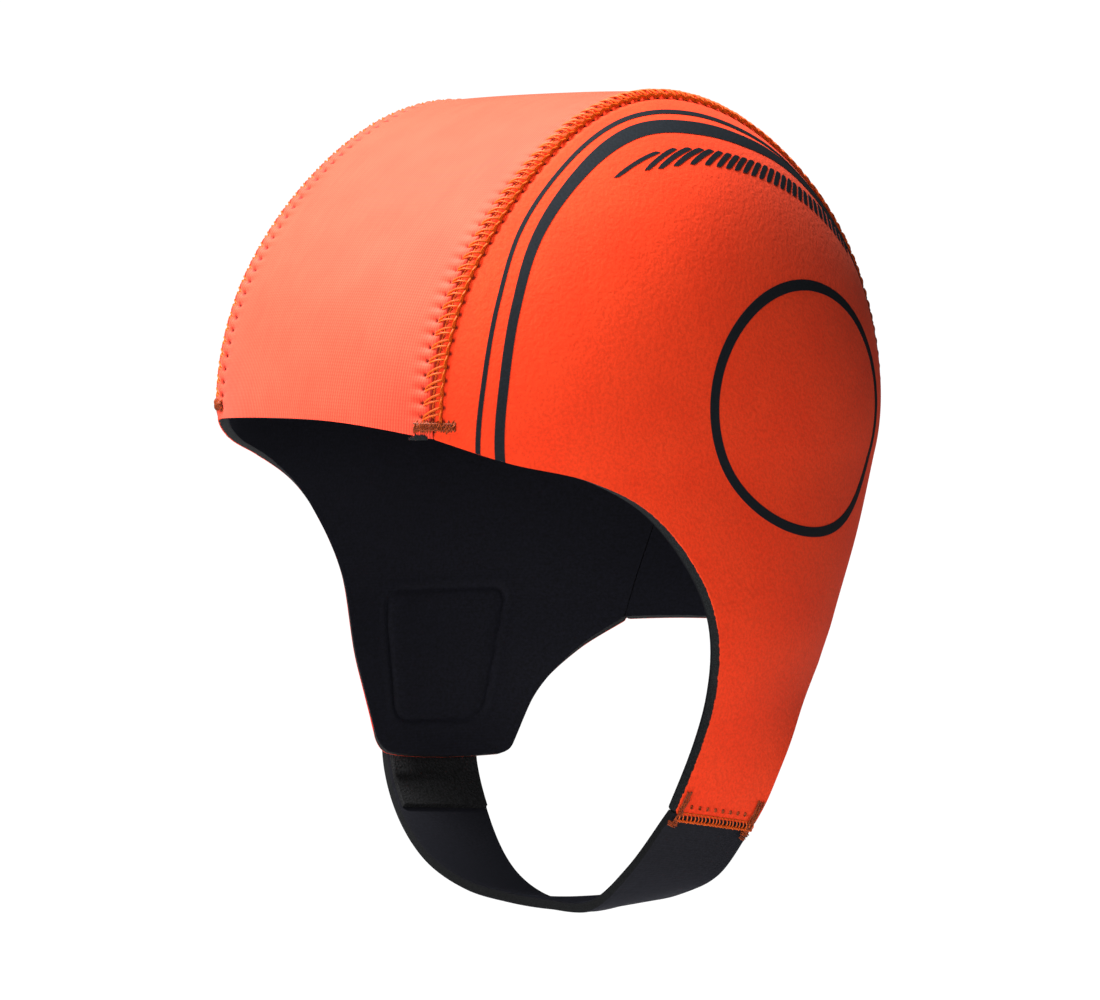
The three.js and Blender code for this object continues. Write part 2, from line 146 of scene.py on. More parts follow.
# Printed bands beside each seam: (dome angle, thin band from the seam, its width, thick band, its width)
BANDS = [
    (0, 11.6, 1.35, 17.4, 2.7),
    (20, 12.9, 1.25, 18.2, 2.6),
    (35, 11.4, 1.15, 16.4, 2.6),
    (50, 8.3, 1.1, 13.2, 2.8),
    (65, 7.6, 1.1, 12.4, 3.4),
    (80, 7.7, 1.4, 12.7, 4.5),
    (95, 9.6, 1.8, 15.6, 5.0),
    (105, 9.8, 1.8, 15.3, 5.0),
    (120, 7.2, 1.7, 11, 4.6),
    (142, 6.8, 1.4, 9.6, 3.4),
    (165, 6.8, 1.0, 9.2, 2.2),
]
# Printed dashes under the bands: (number, foot's dome angle, foot from the seam, head's angle, head, width)
DASHES = [
    (1, 70.1, 20.4, 81.8, 21.2, 1.15),
    (2, 76.6, 24.2, 86, 21.9, 1.3),
    (3, 79.6, 25.8, 89.8, 22.6, 1.4),
    (6, 92.3, 28.4, 98, 23.2, 1.55),
    (10, 103.4, 28.4, 107, 22, 1.65),
    (14, 113, 26.4, 115.2, 19.2, 1.7),
    (18, 121.2, 23.4, 122.2, 16.6, 1.7),
    (24, 132.5, 18.6, 132.3, 11.8, 1.7),
    (28, 139.5, 15.4, 138.9, 8.8, 1.7),
]
DASH_CUT = 1.4
# Printed ring on each side
RING = {"azimuth": 113.5, "rise": 14.28, "across": 38.6, "down": 32.8, "line": 2.7, "bend": 95}
# How far the ink's outer and inner faces stand off the cloth's face
FILM = 0.12
# The side panels' front cut edges slant by that much, from a share of their length on
CUT_SLANT = {"from": 0.3, "over": 0.2, "left": 1.1, "right": 2.2, "fading": 14}
# How tightly the side panels curve away from the seams
BEND = 78
# How many points the panels' grids have along the brow to nape line, on the cloth and on the lining
CENTRE_ROWS = {"cloth": 521, "lining": 161}
SIDE_COLUMNS = {"cloth": 441, "lining": 141}
# A side panel's length from the seam to the flap's end, and its lining's grid: the step, and the shares of
# that length where the patch's outline crosses it, with the reach on both sides
PANEL_LENGTH = 205
LINING_STEP = 3.6
PATCH_OUTLINE_AT = (0.735, 0.925)
PATCH_OUTLINE_REACH = 0.034

# The flatlock seam between two panels: threads cross it in pairs, and a chain runs along the side panel
STITCH = {"pitch": 3.65, "thread": 0.3, "left": -3.6, "right": 2.2, "lean": 2.0}
STITCH_START = 5.5
# How far past the crossing threads each link of the chain starts
LINK_START = 0.9
# How deep each seam's threads are drawn into the cloth, and how many stitches it leaves out at the brow
PULLED_TIGHT = {"left": -0.1, "right": 0.35}
SKIPPED = {"left": 0, "right": 1}
# How wide the bar tacks are, and how far they lie before the first stitch and past the last one
TACK_WIDTH = 12.5
TACK_BEFORE = 2.2
TACK_PAST = 2
FAR_FROM_SEAM = 50
# The relief starts and stops this far outside the stitches, and grows over this length
SEWN_MARGIN = 3
SEWN_FADE = 4
# How high or deep sewing shapes the cloth
RELIEF = {"pillow": 0.6, "scallop": 0.55, "hole": 0.9, "pull": 0.25, "pucker": 0.1}

# Camera: turned from the front towards the wearer's left, and placed about the form's middle
VIEW = {"azimuth": 50.13, "elevation": 2.88, "distance": 1300, "right": 2.72, "up": -12.81, "lens": 152.32}


def curve_through(rows, start_slope=None):
    """A smooth curve through (x, y) rows, as a function of x"""
    x, y = np.array(rows, float).T
    chord = np.diff(y) / np.diff(x)
    gap = np.diff(x)
    slope = np.empty(len(x))
    slope[0] = chord[0] if start_slope is None else start_slope
    slope[-1] = chord[-1]
    slope[1:-1] = (chord[:-1] * gap[1:] + chord[1:] * gap[:-1]) / (gap[:-1] + gap[1:])

    def value(at):
        i = np.clip(np.searchsorted(x, at, side="left") - 1, 0, len(x) - 2)
        span = x[i + 1] - x[i]
        t = (at - x[i]) / span
        start = (2 * t**3 - 3 * t**2 + 1) * y[i] + (t**3 - 2 * t**2 + t) * span * slope[i]
        end = (3 * t**2 - 2 * t**3) * y[i + 1] + (t**3 - t**2) * span * slope[i + 1]
        return start + end

    return value


def cross_curve(column):
    curve = curve_through([(row[0], row[column]) for row in CROSS_FORM])
    return lambda station: curve(np.clip(station, CROSS_FORM[0][0], CROSS_FORM[-1][0]))


reach_at = curve_through(MIDDLE_LINE)
half_width_at = curve_through(HALF_WIDTH, 0)
squareness_at, strip_at, flatness_at = (cross_curve(column) for column in (1, 2, 3))


def unit(vectors):
    return vectors / np.maximum(np.linalg.norm(vectors, axis=-1, keepdims=True), 1e-12)


def dot(a, b):
    return (a * b).sum(-1)


def lerp(a, b, t):
    return a + (b - a) * t


def hump(distance, width):
    """1 at a distance of nothing, falling off evenly on both sides"""
    return np.exp(-((distance / width) ** 2))


def walked(points, axis=0):
    """The distance walked along rows of points"""
    walk = np.cumsum(np.linalg.norm(np.diff(points, axis=axis), axis=-1), axis)
    return np.insert(walk, 0, 0, axis)


def mesh_of(rows, columns):
    return np.meshgrid(rows, columns, indexing="ij")


def on_guide(points):
    """Points pressed back onto the guide along its own radius"""
    radial = points.copy()
    radial[..., 2] = np.maximum(radial[..., 2], 0)
    radial = unit(radial) * RADIUS
    radial[..., 2] = np.where(points[..., 2] < 0, points[..., 2], radial[..., 2])
    return radial


def guide_point(azimuth, drop):
    turn = np.radians(azimuth)
    drop = drop + 0 * turn
    return on_guide(np.stack([RADIUS * np.sin(turn), -RADIUS * np.cos(turn), -drop], -1))


def head_point(guide):
    """The outside of the head form over points of the guide, from the ball's centre"""
    low = guide[..., 2] < 0
    flat = guide.copy()
    flat[..., 2] = np.where(low, 0, guide[..., 2])
    direction = unit(flat)
    over = np.arctan2(guide[..., 2], -guide[..., 1]) * RADIUS
    under = np.where(guide[..., 1] < 0, guide[..., 2], DOME - guide[..., 2])
    station = np.where(low, under, over)
    reach = reach_at(station)
    half = half_width_at(np.where(low, -guide[..., 2], 0))
    power = squareness_at(station)
    sideways = np.abs(direction[..., 0])
    onward = np.sqrt(np.maximum(0, 1 - sideways**2))
    radius = ((sideways / half) ** power + (onward / reach) ** power) ** (-1 / power)
    seam_reach = reach * (1 - (strip_at(station) / half) ** power) ** (1 / power)
    pull = flatness_at(station) * np.maximum(0, radius * onward - seam_reach)
    outward = direction.copy()
    outward[..., 0] = 0
    point = direction * radius[..., None] - unit(outward) * pull[..., None]
    point[..., 2] += np.where(low, guide[..., 2], 0)
    return point


EQUATOR = WALL - head_point(np.array([0.0, 0.0, RADIUS]))[2]


def form_point(guide):
    return head_point(guide) + [0, 0, EQUATOR]


def form_normal(guide):
    """The outward normal of the form over points of the guide, from the slopes along two directions"""
    step = 1.5
    radial = guide.copy()
    radial[..., 2] = np.maximum(radial[..., 2], 0)
    radial = unit(radial)
    level = np.abs(radial[..., :1]) < 0.8
    helper = np.where(level, [1.0, 0, 0], [0, 0, 1.0])
    first = unit(np.cross(radial, helper))
    second = unit(np.cross(radial, first))
    slopes = [
        head_point(on_guide(guide + along * step)) - head_point(on_guide(guide - along * step))
        for along in (first, second)
    ]
    normal = unit(np.cross(*slopes))
    return np.where(dot(normal, radial)[..., None] < 0, -normal, normal)


def lifted(guide, lift):
    """The form's points over the guide, lifted off the form along its normal"""
    return form_point(guide) + form_normal(guide) * np.asarray(lift, float)[..., None]


def guide_beside(station, sideways):
    """The guide's points whose form points lie that far to the side of the middle line.
    A first guess is corrected in a few rounds."""
    angle = np.clip(station / RADIUS, 0, math.pi)
    low = np.where(station < 0, station, np.minimum(0, DOME - station))
    guessed_reach, rounds, widest = 100, 8, 0.97
    lateral = np.arcsin(sideways / guessed_reach)
    for _ in range(rounds):
        guide = RADIUS * np.stack(
            [np.sin(lateral), -np.cos(lateral) * np.cos(angle), np.cos(lateral) * np.sin(angle)], -1
        )
        guide[..., 2] = np.where(low < 0, low, guide[..., 2])
        reached = head_point(guide)[..., 0]
        safe = np.where(np.abs(reached) < 1e-6, 1, reached)
        ratio = np.where(np.abs(reached) < 1e-6, 1, sideways / safe)
        lateral = np.arcsin(np.clip(np.sin(lateral) * ratio, -widest, widest))
    return guide


def spline_through(points, fractions):
    """Centripetal Catmull-Rom curves through a row of points, read at fractions of their length.
    Points may hold several curves at once: (row, curve, 3)."""
    points = np.asarray(points, float)
    if points.ndim == 2:
        return spline_through(points[:, None], fractions)[:, 0]
    before = 2 * points[0] - points[1]
    after = 2 * points[-1] - points[-2]
    p = np.concatenate([before[None], points, after[None]])
    gaps = np.maximum(np.linalg.norm(np.diff(p, axis=0), axis=-1, keepdims=True) ** 0.5, 1e-4)
    t = np.linspace(0, 1, 60, endpoint=False)[:, None, None]
    pieces = []
    for i in range(len(points) - 1):
        a, b, c, d = p[i : i + 4]
        g0, g1, g2 = gaps[i : i + 3]
        start = ((b - a) / g0 - (c - a) / (g0 + g1) + (c - b) / g1) * g1
        end = ((c - b) / g1 - (d - b) / (g1 + g2) + (d - c) / g2) * g1
        cubic = 2 * b - 2 * c + start + end
        square = -3 * b + 3 * c - 2 * start - end
        pieces.append(b + start * t + square * t**2 + cubic * t**3)
    line = np.concatenate([*pieces, points[-1:]])
    length = walked(line)
    curves = [
        np.stack([np.interp(fractions * length[-1, j], length[:, j], line[:, j, k]) for k in range(3)], -1)
        for j in range(points.shape[1])
    ]
    return np.stack(curves, 1)


# The seam's own length from the brow, which sets where its stitches fall
SEAM_STATIONS = np.linspace(BROW["left"], NAPE["seam"], 1500)
SEAM_WALK = walked(form_point(guide_beside(SEAM_STATIONS, strip_at(SEAM_STATIONS))))


def seam_length(station):
    return np.interp(station, SEAM_STATIONS, SEAM_WALK)


STITCH_COUNT = int((SEAM_WALK[-1] - 2 * STITCH_START) / STITCH["pitch"])
STITCH_END = STITCH_START + STITCH_COUNT * STITCH["pitch"]


def flatlock_relief(beside, along, over_side_panel, slot=1.0):
    """How far the stitches lift and press the cloth near a seam: a pillow between the threads, a groove along
    the slot, and on the centre panel needle holes with the cloth pulled and puckered past them.
    Beside is the distance from the seam's middle."""
    pitch = STITCH["pitch"]
    signed = beside if over_side_panel else -beside
    lean = STITCH["lean"] * (signed - STITCH["left"]) / (STITCH["right"] - STITCH["left"])
    thread_at = (along - STITCH_START - lean + pitch / 2) % pitch - pitch / 2
    hole_at = (along - STITCH_START + pitch / 2) % pitch - pitch / 2
    wave = 2 * np.pi / pitch
    past_start, before_end = along - STITCH_START, STITCH_END - along
    sewn_share = np.clip((past_start + SEWN_MARGIN) / SEWN_FADE, 0, 1)
    sewn_share = sewn_share * np.clip((before_end + SEWN_MARGIN) / SEWN_FADE, 0, 1)
    reach = STITCH["right"] if over_side_panel else -STITCH["left"]
    band = np.clip(1.4 - beside / reach, 0, 1)
    band = band * band * (3 - 2 * band)
    pillow = RELIEF["pillow"] * band * (1 - 0.85 * hump(thread_at, 0.95))
    slot_at = beside + 0.3 * np.sin(wave * thread_at) * (1 if over_side_panel else -1)
    groove = -slot * hump(slot_at, 0.5)
    past_reach = beside - reach
    if over_side_panel:
        scallop = 0.65 + 0.35 * np.cos(wave * (thread_at - 1))
        pressed = -RELIEF["scallop"] * scallop * hump(past_reach - 0.75, 0.6)
    else:
        hole = hump(past_reach, 0.6) * hump(hole_at, 0.6)
        pull = hump(past_reach - 1.2, 1.3) * hump(hole_at, 0.7)
        pucker = hump(past_reach - 2, 2) * np.cos(wave * hole_at)
        pressed = -RELIEF["hole"] * hole - RELIEF["pull"] * pull - RELIEF["pucker"] * pucker
    return sewn_share * (pillow + pressed) + groove


def seam_place(beside, along, first):
    """Where the cloth lies by the seam's sewn length: (distance from its middle, distance past a stitch)"""
    margin = 2
    sewn = (along > STITCH_START - margin) & (along < STITCH_END + margin)
    return np.stack([np.where(sewn, beside, FAR_FROM_SEAM), along - STITCH_START - first], -1)


def hexed(code):
    """An sRGB hex colour as linear light"""
    parts = [int(code[i : i + 2], 16) / 255 for i in (1, 3, 5)]
    return (*[c / 12.92 if c <= 0.04045 else ((c + 0.055) / 1.055) ** 2.4 for c in parts], 1.0)


def zipped(first, second, first_at, second_at):
    """Triangles between two rows of vertices that run side by side, matched by their parameters"""
    faces = []
    i = j = 0
    while i < len(first) - 1 or j < len(second) - 1:
        step_first = j == len(second) - 1 or (i < len(first) - 1 and first_at[i + 1] <= second_at[j + 1])
        if step_first:
            faces.append((first[i], first[i + 1], second[j]))
            i += 1
        else:
            faces.append((first[i], second[j + 1], second[j]))
            j += 1
    return faces


def grid_quads(numbers):
    a, b, c, d = numbers[:-1, :-1], numbers[1:, :-1], numbers[1:, 1:], numbers[:-1, 1:]
    return np.stack([a, b, c, d], -1).reshape(-1, 4)


def shell(name, outer, inner, at_outer, at_inner, cloth_uv, materials, seam_uv=None):
    """A closed mesh of an outer and an inner grid of points with a rim between them. at_outer and at_inner
    give each grid's (row, column) parameters. Materials are for the outside, the rim and the inside."""
    rows, columns = outer.shape[:2]
    inner_rows, inner_columns = inner.shape[:2]
    points = np.concatenate([outer.reshape(-1, 3), inner.reshape(-1, 3)])
    numbers = np.arange(rows * columns).reshape(rows, columns)
    inner_numbers = np.arange(inner_rows * inner_columns).reshape(inner_rows, inner_columns) + rows * columns
    top = grid_quads(numbers)
    bottom = grid_quads(inner_numbers)[:, ::-1]
    rim, rim_uv = [], []
    depth = np.concatenate([np.zeros(rows * columns), np.full(inner_rows * inner_columns, float(WALL))])
    edges = [
        (numbers[0], inner_numbers[0], at_outer[1], at_inner[1], False),
        (numbers[-1], inner_numbers[-1], at_outer[1], at_inner[1], True),
        (numbers[:, 0], inner_numbers[:, 0], at_outer[0], at_inner[0], True),
        (numbers[:, -1], inner_numbers[:, -1], at_outer[0], at_inner[0], False),
    ]
    for first, second, first_at, second_at, turned in edges:
        walk = dict(zip(first, walked(points[first])))
        walk.update(zip(second, np.interp(second_at, first_at, walked(points[first]))))
        for face in zipped(first, second, first_at, second_at):
            face = face[::-1] if turned else face
            rim.append(face)
            rim_uv += [(walk[v], depth[v]) for v in face]
    faces = [tuple(face) for face in (*top, *rim, *bottom)]
    kinds = np.concatenate([np.zeros(len(top)), np.ones(len(rim)), np.full(len(bottom), 2)]).astype(np.int32)
    surface_uv = np.concatenate([uv.reshape(-1, 2) for uv in cloth_uv])
    loops_uv = np.concatenate([surface_uv[top.ravel()], np.array(rim_uv), surface_uv[bottom.ravel()]])
    mesh = bpy.data.meshes.new(name)
    mesh.from_pydata((points * MM).tolist(), [], faces)
    mesh.uv_layers.new(name="cloth").data.foreach_set("uv", loops_uv.astype(np.float32).ravel())
    if seam_uv is not None:
        beside_uv = np.zeros_like(loops_uv)
        beside_uv[: top.size] = seam_uv.reshape(-1, 2)[top.ravel()]
        mesh.uv_layers.new(name="seam").data.foreach_set("uv", beside_uv.astype(np.float32).ravel())
    mesh.polygons.foreach_set("material_index", kinds)
    turn_outward(mesh)
    return finished(name, mesh, materials)


def turn_outward(mesh):
    """Turns the faces of a closed mesh outward"""
    mesh.calc_loop_triangles()
    points = np.empty(3 * len(mesh.vertices))
    mesh.vertices.foreach_get("co", points)
    corners = np.empty(3 * len(mesh.loop_triangles), np.int32)
    mesh.loop_triangles.foreach_get("vertices", corners)
    a, b, c = points.reshape(-1, 3)[corners.reshape(-1, 3)].transpose(1, 0, 2)
    if dot(a, np.cross(b, c)).sum() < 0:
        mesh.flip_normals()


def closed(name, points, faces, material, sharp=50):
    """A closed piece of one material, from points in millimetres"""
    mesh = bpy.data.meshes.new(name)
    mesh.from_pydata((points * MM).tolist(), [], faces)
    turn_outward(mesh)
    return finished(name, mesh, [material], sharp)


def finished(name, mesh, materials, sharp=50):
    """A smooth-shaded object in the scene, with edges sharp from an angle in degrees on"""
    for material in materials:
        mesh.materials.append(material)
    mesh.update()
    mesh.validate()
    mesh.shade_smooth()
    mesh.set_sharp_from_angle(angle=math.radians(sharp))
    piece = bpy.data.objects.new(name, mesh)
    bpy.context.scene.collection.objects.link(piece)
    return piece


# Materials


def add(tree, kind, inputs=None, **settings):
    """Adds a node with its settings, values and links"""
    node = tree.nodes.new(kind)
    for name, value in settings.items():
        setattr(node, name, value)
    for socket, value in (inputs or {}).items():
        if isinstance(value, bpy.types.NodeSocket):
            tree.links.new(value, node.inputs[socket])
        else:
            node.inputs[socket].default_value = value
    return node


def new_material(name, **surface):
    """A material with the shader's values, with underscores for the spaces in their names"""
    material = bpy.data.materials.new(name)
    material.use_nodes = True
    tree = material.node_tree
    shader = tree.nodes["Principled BSDF"]
    for socket, value in surface.items():
        shader.inputs[socket.replace("_", " ")].default_value = value
    return material, tree, shader


def mixed(tree, factor, a, b, blend="MIX"):
    """The colour a turned to b by a factor"""
    inputs = {"Factor": factor, "A": a, "B": b}
    node = tree.nodes.new("ShaderNodeMix")
    node.data_type = "RGBA"
    node.blend_type = blend
    for socket in node.inputs:
        if socket.name in inputs and (socket.type == "RGBA") == (socket.name != "Factor") and socket.enabled:
            value = inputs[socket.name]
            if isinstance(value, bpy.types.NodeSocket):
                tree.links.new(value, socket)
            else:
                socket.default_value = value
    return next(s for s in node.outputs if s.enabled)


def ramp(tree, value, low, high):
    node = add(tree, "ShaderNodeMapRange", {"Value": value, "From Min": low, "From Max": high}, clamp=True)
    return node.outputs["Result"]


def bumped(tree, shader, height, strength, distance):
    node = add(tree, "ShaderNodeBump", {"Height": height, "Strength": strength, "Distance": distance * MM})
    tree.links.new(node.outputs["Normal"], shader.inputs["Normal"])


def noise(tree, coordinates, grain, detail=2.0, roughness=0.5):
    """Noise with a grain in millimetres, on coordinates in metres"""
    node = add(
        tree,
        "ShaderNodeTexNoise",
        {"Vector": coordinates, "Scale": 1 / (grain * MM), "Detail": detail, "Roughness": roughness},
    )
    return node.outputs["Fac"]


def cells_of(tree, coordinates, grain):
    """Rounded cells with a grain in millimetres, as the distance from each one's middle"""
    node = add(tree, "ShaderNodeTexVoronoi", {"Vector": coordinates, "Scale": 1 / (grain * MM)})
    return node.outputs["Distance"]


def math_node(tree, operation, *values):
    node = tree.nodes.new("ShaderNodeMath")
    node.operation = operation
    for socket, value in zip(node.inputs, values):
        if isinstance(value, bpy.types.NodeSocket):
            tree.links.new(value, socket)
        else:
            socket.default_value = value
    return node.outputs[0]


def ribs(tree, across, spacing):
    """0 to 1 waves across ribs of that spacing in millimetres"""
    turn = math_node(tree, "MULTIPLY", across, 2 * math.pi / spacing)
    return math_node(tree, "MULTIPLY_ADD", math_node(tree, "SINE", turn), 0.5, 0.5)


def object_place(tree):
    return add(tree, "ShaderNodeTexCoord").outputs["Object"]


def map_place(tree, name):
    """A UV map's coordinates, in millimetres: whole, and as X and Y"""
    whole = add(tree, "ShaderNodeUVMap", uv_map=name).outputs["UV"]
    parts = add(tree, "ShaderNodeSeparateXYZ", {"Vector": whole}).outputs
    return whole, parts["X"], parts["Y"]


def coloured(tree, shader, value, low, high, dark, light):
    """Colours the surface from dark to light as a value goes from low to high"""
    colour = mixed(tree, ramp(tree, value, low, high), hexed(dark), hexed(light))
    tree.links.new(colour, shader.inputs["Base Color"])


def sewn_shade(tree, colour, reach):
    """Darkens the cloth in the seam's slot and round each needle hole, where it shades itself"""
    beside, along = map_place(tree, "seam")[1:]
    half_pitch = STITCH["pitch"] / 2
    past_stitch = math_node(tree, "WRAP", along, half_pitch, -half_pitch)
    past_reach = math_node(tree, "SUBTRACT", beside, reach)
    from_hole = add(tree, "ShaderNodeCombineXYZ", {"X": past_reach, "Y": past_stitch})
    spread = add(tree, "ShaderNodeVectorMath", {0: from_hole.outputs["Vector"]}, operation="LENGTH")
    colour = mixed(tree, ramp(tree, spread.outputs["Value"], 0.2, 0.85), hexed("#6a1206"), colour)
    return mixed(tree, ramp(tree, beside, 0.3, 1.1), hexed("#8f1e0a"), colour)


def ribbed_jersey():
    """Nylon jersey laminated to foam, its knit wales running over the crown: fine ribs and a soft bright
    face. The wales are 0.88 mm apart, as the photograph's ribs are, and faint streaks run along them."""
    material, tree, shader = new_material(
        "ribbed_nylon_jersey",
        Roughness=0.7,
        Sheen_Weight=0.12,
        Sheen_Roughness=0.5,
        Sheen_Tint=hexed("#ffd9c4"),
        Specular_IOR_Level=0.25,
    )
    place = object_place(tree)
    cloth, across, along = map_place(tree, "cloth")
    wale_spacing, course_spacing = 0.88, 0.85
    rib = ribs(tree, across, wale_spacing)
    course = ribs(tree, along, course_spacing)
    blotch = ramp(tree, noise(tree, place, 14, 3), 0.35, 0.7)
    grain = noise(tree, place, 0.7, 2)
    colour = mixed(tree, blotch, hexed("#ff472c"), hexed("#ff4d32"))
    # The map is divided by a streak's width and length, so that the noise has a grain of one unit
    streak_width, streak_length = 1.3, 18
    scale = (1 / streak_width, 1 / streak_length, 1)
    streak = add(tree, "ShaderNodeVectorMath", {0: cloth, 1: scale}, operation="MULTIPLY")
    streaks = noise(tree, streak.outputs["Vector"], 1 / MM)
    # The furrows between the wales are painted darker: painted shade, with the streaks and grain of the knit's
    # own uneven tone on top.
    furrow_shade_and_tone = math_node(tree, "MULTIPLY_ADD", rib, 0.45, 0.45)
    furrow_shade_and_tone = math_node(tree, "MULTIPLY_ADD", streaks, 0.2, furrow_shade_and_tone)
    furrow_shade_and_tone = math_node(tree, "MULTIPLY_ADD", grain, 0.08, furrow_shade_and_tone)
    grey = add(tree, "ShaderNodeCombineColor", dict.fromkeys(("Red", "Green", "Blue"), furrow_shade_and_tone))
    colour = mixed(tree, 1.0, colour, grey.outputs["Color"], "MULTIPLY")
    tree.links.new(sewn_shade(tree, colour, -STITCH["left"] - 0.1), shader.inputs["Base Color"])
    height = math_node(tree, "MULTIPLY_ADD", course, 0.25, rib)
    bumped(tree, shader, height, 0.8, 0.07)
    return material


def brushed_jersey():
    """Brushed nylon jersey laminated to foam: a short nap that gives a fine pebble and a soft matte face"""
    material, tree, shader = new_material(
        "brushed_nylon_jersey",
        Roughness=0.8,
        Sheen_Weight=0.1,
        Sheen_Roughness=0.5,
        Sheen_Tint=hexed("#ffb59a"),
        Specular_IOR_Level=0.2,
    )
    place = object_place(tree)
    nap = noise(tree, place, 0.8, 3, 0.6)
    pebble = ramp(tree, noise(tree, place, 1.5, 2), 0.3, 0.7)
    blotch = ramp(tree, noise(tree, place, 16, 3), 0.35, 0.7)
    colour = mixed(tree, blotch, hexed("#f93c14"), hexed("#fd4218"))
    colour = mixed(tree, ramp(tree, nap, 0.35, 0.6), mixed(tree, 0.26, colour, hexed("#a8260a")), colour)
    tree.links.new(sewn_shade(tree, colour, STITCH["right"] + 0.6), shader.inputs["Base Color"])
    height = math_node(tree, "MULTIPLY_ADD", pebble, 0.6, nap)
    bumped(tree, shader, height, 0.5, 0.2)
    return material


def black_jersey(name, dark, light, rib_spacing):
    """Black nylon jersey on foam: matte, with faint knit lines that only show where light grazes it"""
    material, tree, shader = new_material(
        name,
        Roughness=0.85,
        Sheen_Weight=0.06,
        Sheen_Roughness=0.5,
        Sheen_Tint=hexed("#8f93b0"),
        Specular_IOR_Level=0.15,
    )
    line = ribs(tree, map_place(tree, "cloth")[2], rib_spacing)
    grain = noise(tree, object_place(tree), 0.8, 3)
    coloured(tree, shader, grain, 0.3, 0.7, dark, light)
    height = math_node(tree, "MULTIPLY_ADD", line, 0.5, grain)
    bumped(tree, shader, height, 0.3, 0.12)
    return material


def cut_edge(name, jersey_colour, light, dark):
    """The cut edge of laminated neoprene: dark grey foam with fine closed cells, between the frayed edge of
    the outer jersey and a black lining. UV Y is the depth in millimetres from the outer face."""
    material, tree, shader = new_material(name, Roughness=0.9, Specular_IOR_Level=0.15)
    place = object_place(tree)
    depth = map_place(tree, "cloth")[2]
    cells = cells_of(tree, place, 0.35)
    foam = mixed(tree, ramp(tree, cells, 0.1, 0.6), hexed(light), hexed(dark))
    fray = math_node(tree, "MULTIPLY_ADD", noise(tree, place, 1.1, 3), 1.0, -0.2)
    jersey = math_node(tree, "LESS_THAN", depth, fray)
    lining = math_node(tree, "GREATER_THAN", depth, WALL - 0.45)
    colour = mixed(tree, jersey, foam, hexed(jersey_colour))
    colour = mixed(tree, lining, colour, hexed("#0e0e12"))
    tree.links.new(colour, shader.inputs["Base Color"])
    bumped(tree, shader, cells, 0.5, 0.15)
    return material


def sewing_thread(name, lit, shaded):
    """Polyester sewing thread: two twisted plies with a slight gloss"""
    material, tree, shader = new_material(name, Roughness=0.55, Specular_IOR_Level=0.25)
    ply = noise(tree, object_place(tree), 0.35, 2)
    # The plies are coloured between a painted shaded tone and a painted lit tone of the thread: painted light
    # and shade.
    coloured(tree, shader, ply, 0.35, 0.65, shaded, lit)
    bumped(tree, shader, ply, 0.4, 0.08)
    return material


def screen_print():
    """Rubbery screen print on jersey: dark blue-grey, flexible, with the knit just showing through"""
    material, tree, shader = new_material("rubber_screen_print", Roughness=0.75, Specular_IOR_Level=0.12)
    knit = noise(tree, object_place(tree), 0.6, 2)
    coloured(tree, shader, knit, 0.3, 0.7, "#14181c", "#1b2026")
    bumped(tree, shader, knit, 0.25, 0.08)
    return material


def fastening_tape(name, dark, light, grain, lift):
    """Woven nylon fastening tape: a dense field of hooks or napped loops that scatter the light"""
    material, tree, shader = new_material(name, Roughness=0.9, Specular_IOR_Level=0.3)
    place = object_place(tree)
    tufts = cells_of(tree, place, grain)
    fuzz = noise(tree, place, grain * 0.6, 3, 0.7)
    height = math_node(tree, "MULTIPLY_ADD", fuzz, 0.6, math_node(tree, "SUBTRACT", 1.0, tufts))
    coloured(tree, shader, height, 0.6, 1.3, dark, light)
    bumped(tree, shader, height, 0.9, lift)
    return material


CENTRE_JERSEY = ribbed_jersey()
SIDE_JERSEY = brushed_jersey()
LINING = black_jersey("black_jersey_lining", "#0a0a0f", "#13131c", 0.9)
STRAP_JERSEY = black_jersey("black_jersey_strap", "#101014", "#18181e", 0.8)
CUT_EDGE = cut_edge("cut_neoprene_edge", "#e2401a", "#26292b", "#121415")
STRAP_EDGE = cut_edge("cut_strap_edge", "#121215", "#17181a", "#0b0c0d")
# Each thread has a painted lit tone and a painted shaded tone.
THREAD = sewing_thread("orange_polyester_thread", "#e65a08", "#b44406")
TACK_THREAD = sewing_thread("tack_polyester_thread", "#a84006", "#421602")
PRINT = screen_print()
HOOK_TAPE = fastening_tape("nylon_hook_tape", "#060607", "#1c1c1f", 0.8, 0.5)
LOOP_TAPE = fastening_tape("nylon_loop_tape", "#101012", "#2a2a2f", 1.1, 0.5)


# Panels


def centre_guide(down, over):
    """The guide's points on the centre panel: down from the brow, over from the right seam to the left one"""
    side = 2 * over - 1
    brow = lerp(BROW["middle"], np.where(side < 0, BROW["right"], BROW["left"]), side**2)
    nape = lerp(NAPE["middle"], NAPE["seam"], side**2)
    station = lerp(brow, nape, down)
    return station, guide_beside(station, side * (strip_at(station) - SEAM_GAP / 2))


def crowded(first_step, last_step, near, total):
    """Distances from 0 to total that are first_step apart up to near, and then grow to last_step"""
    places = list(np.arange(0, near, first_step))
    step = first_step
    while places[-1] + step < total - last_step / 2:
        step = min(step * 1.15, last_step)
        places.append(places[-1] + step)
    places[-1] = total
    return np.array(places) / total


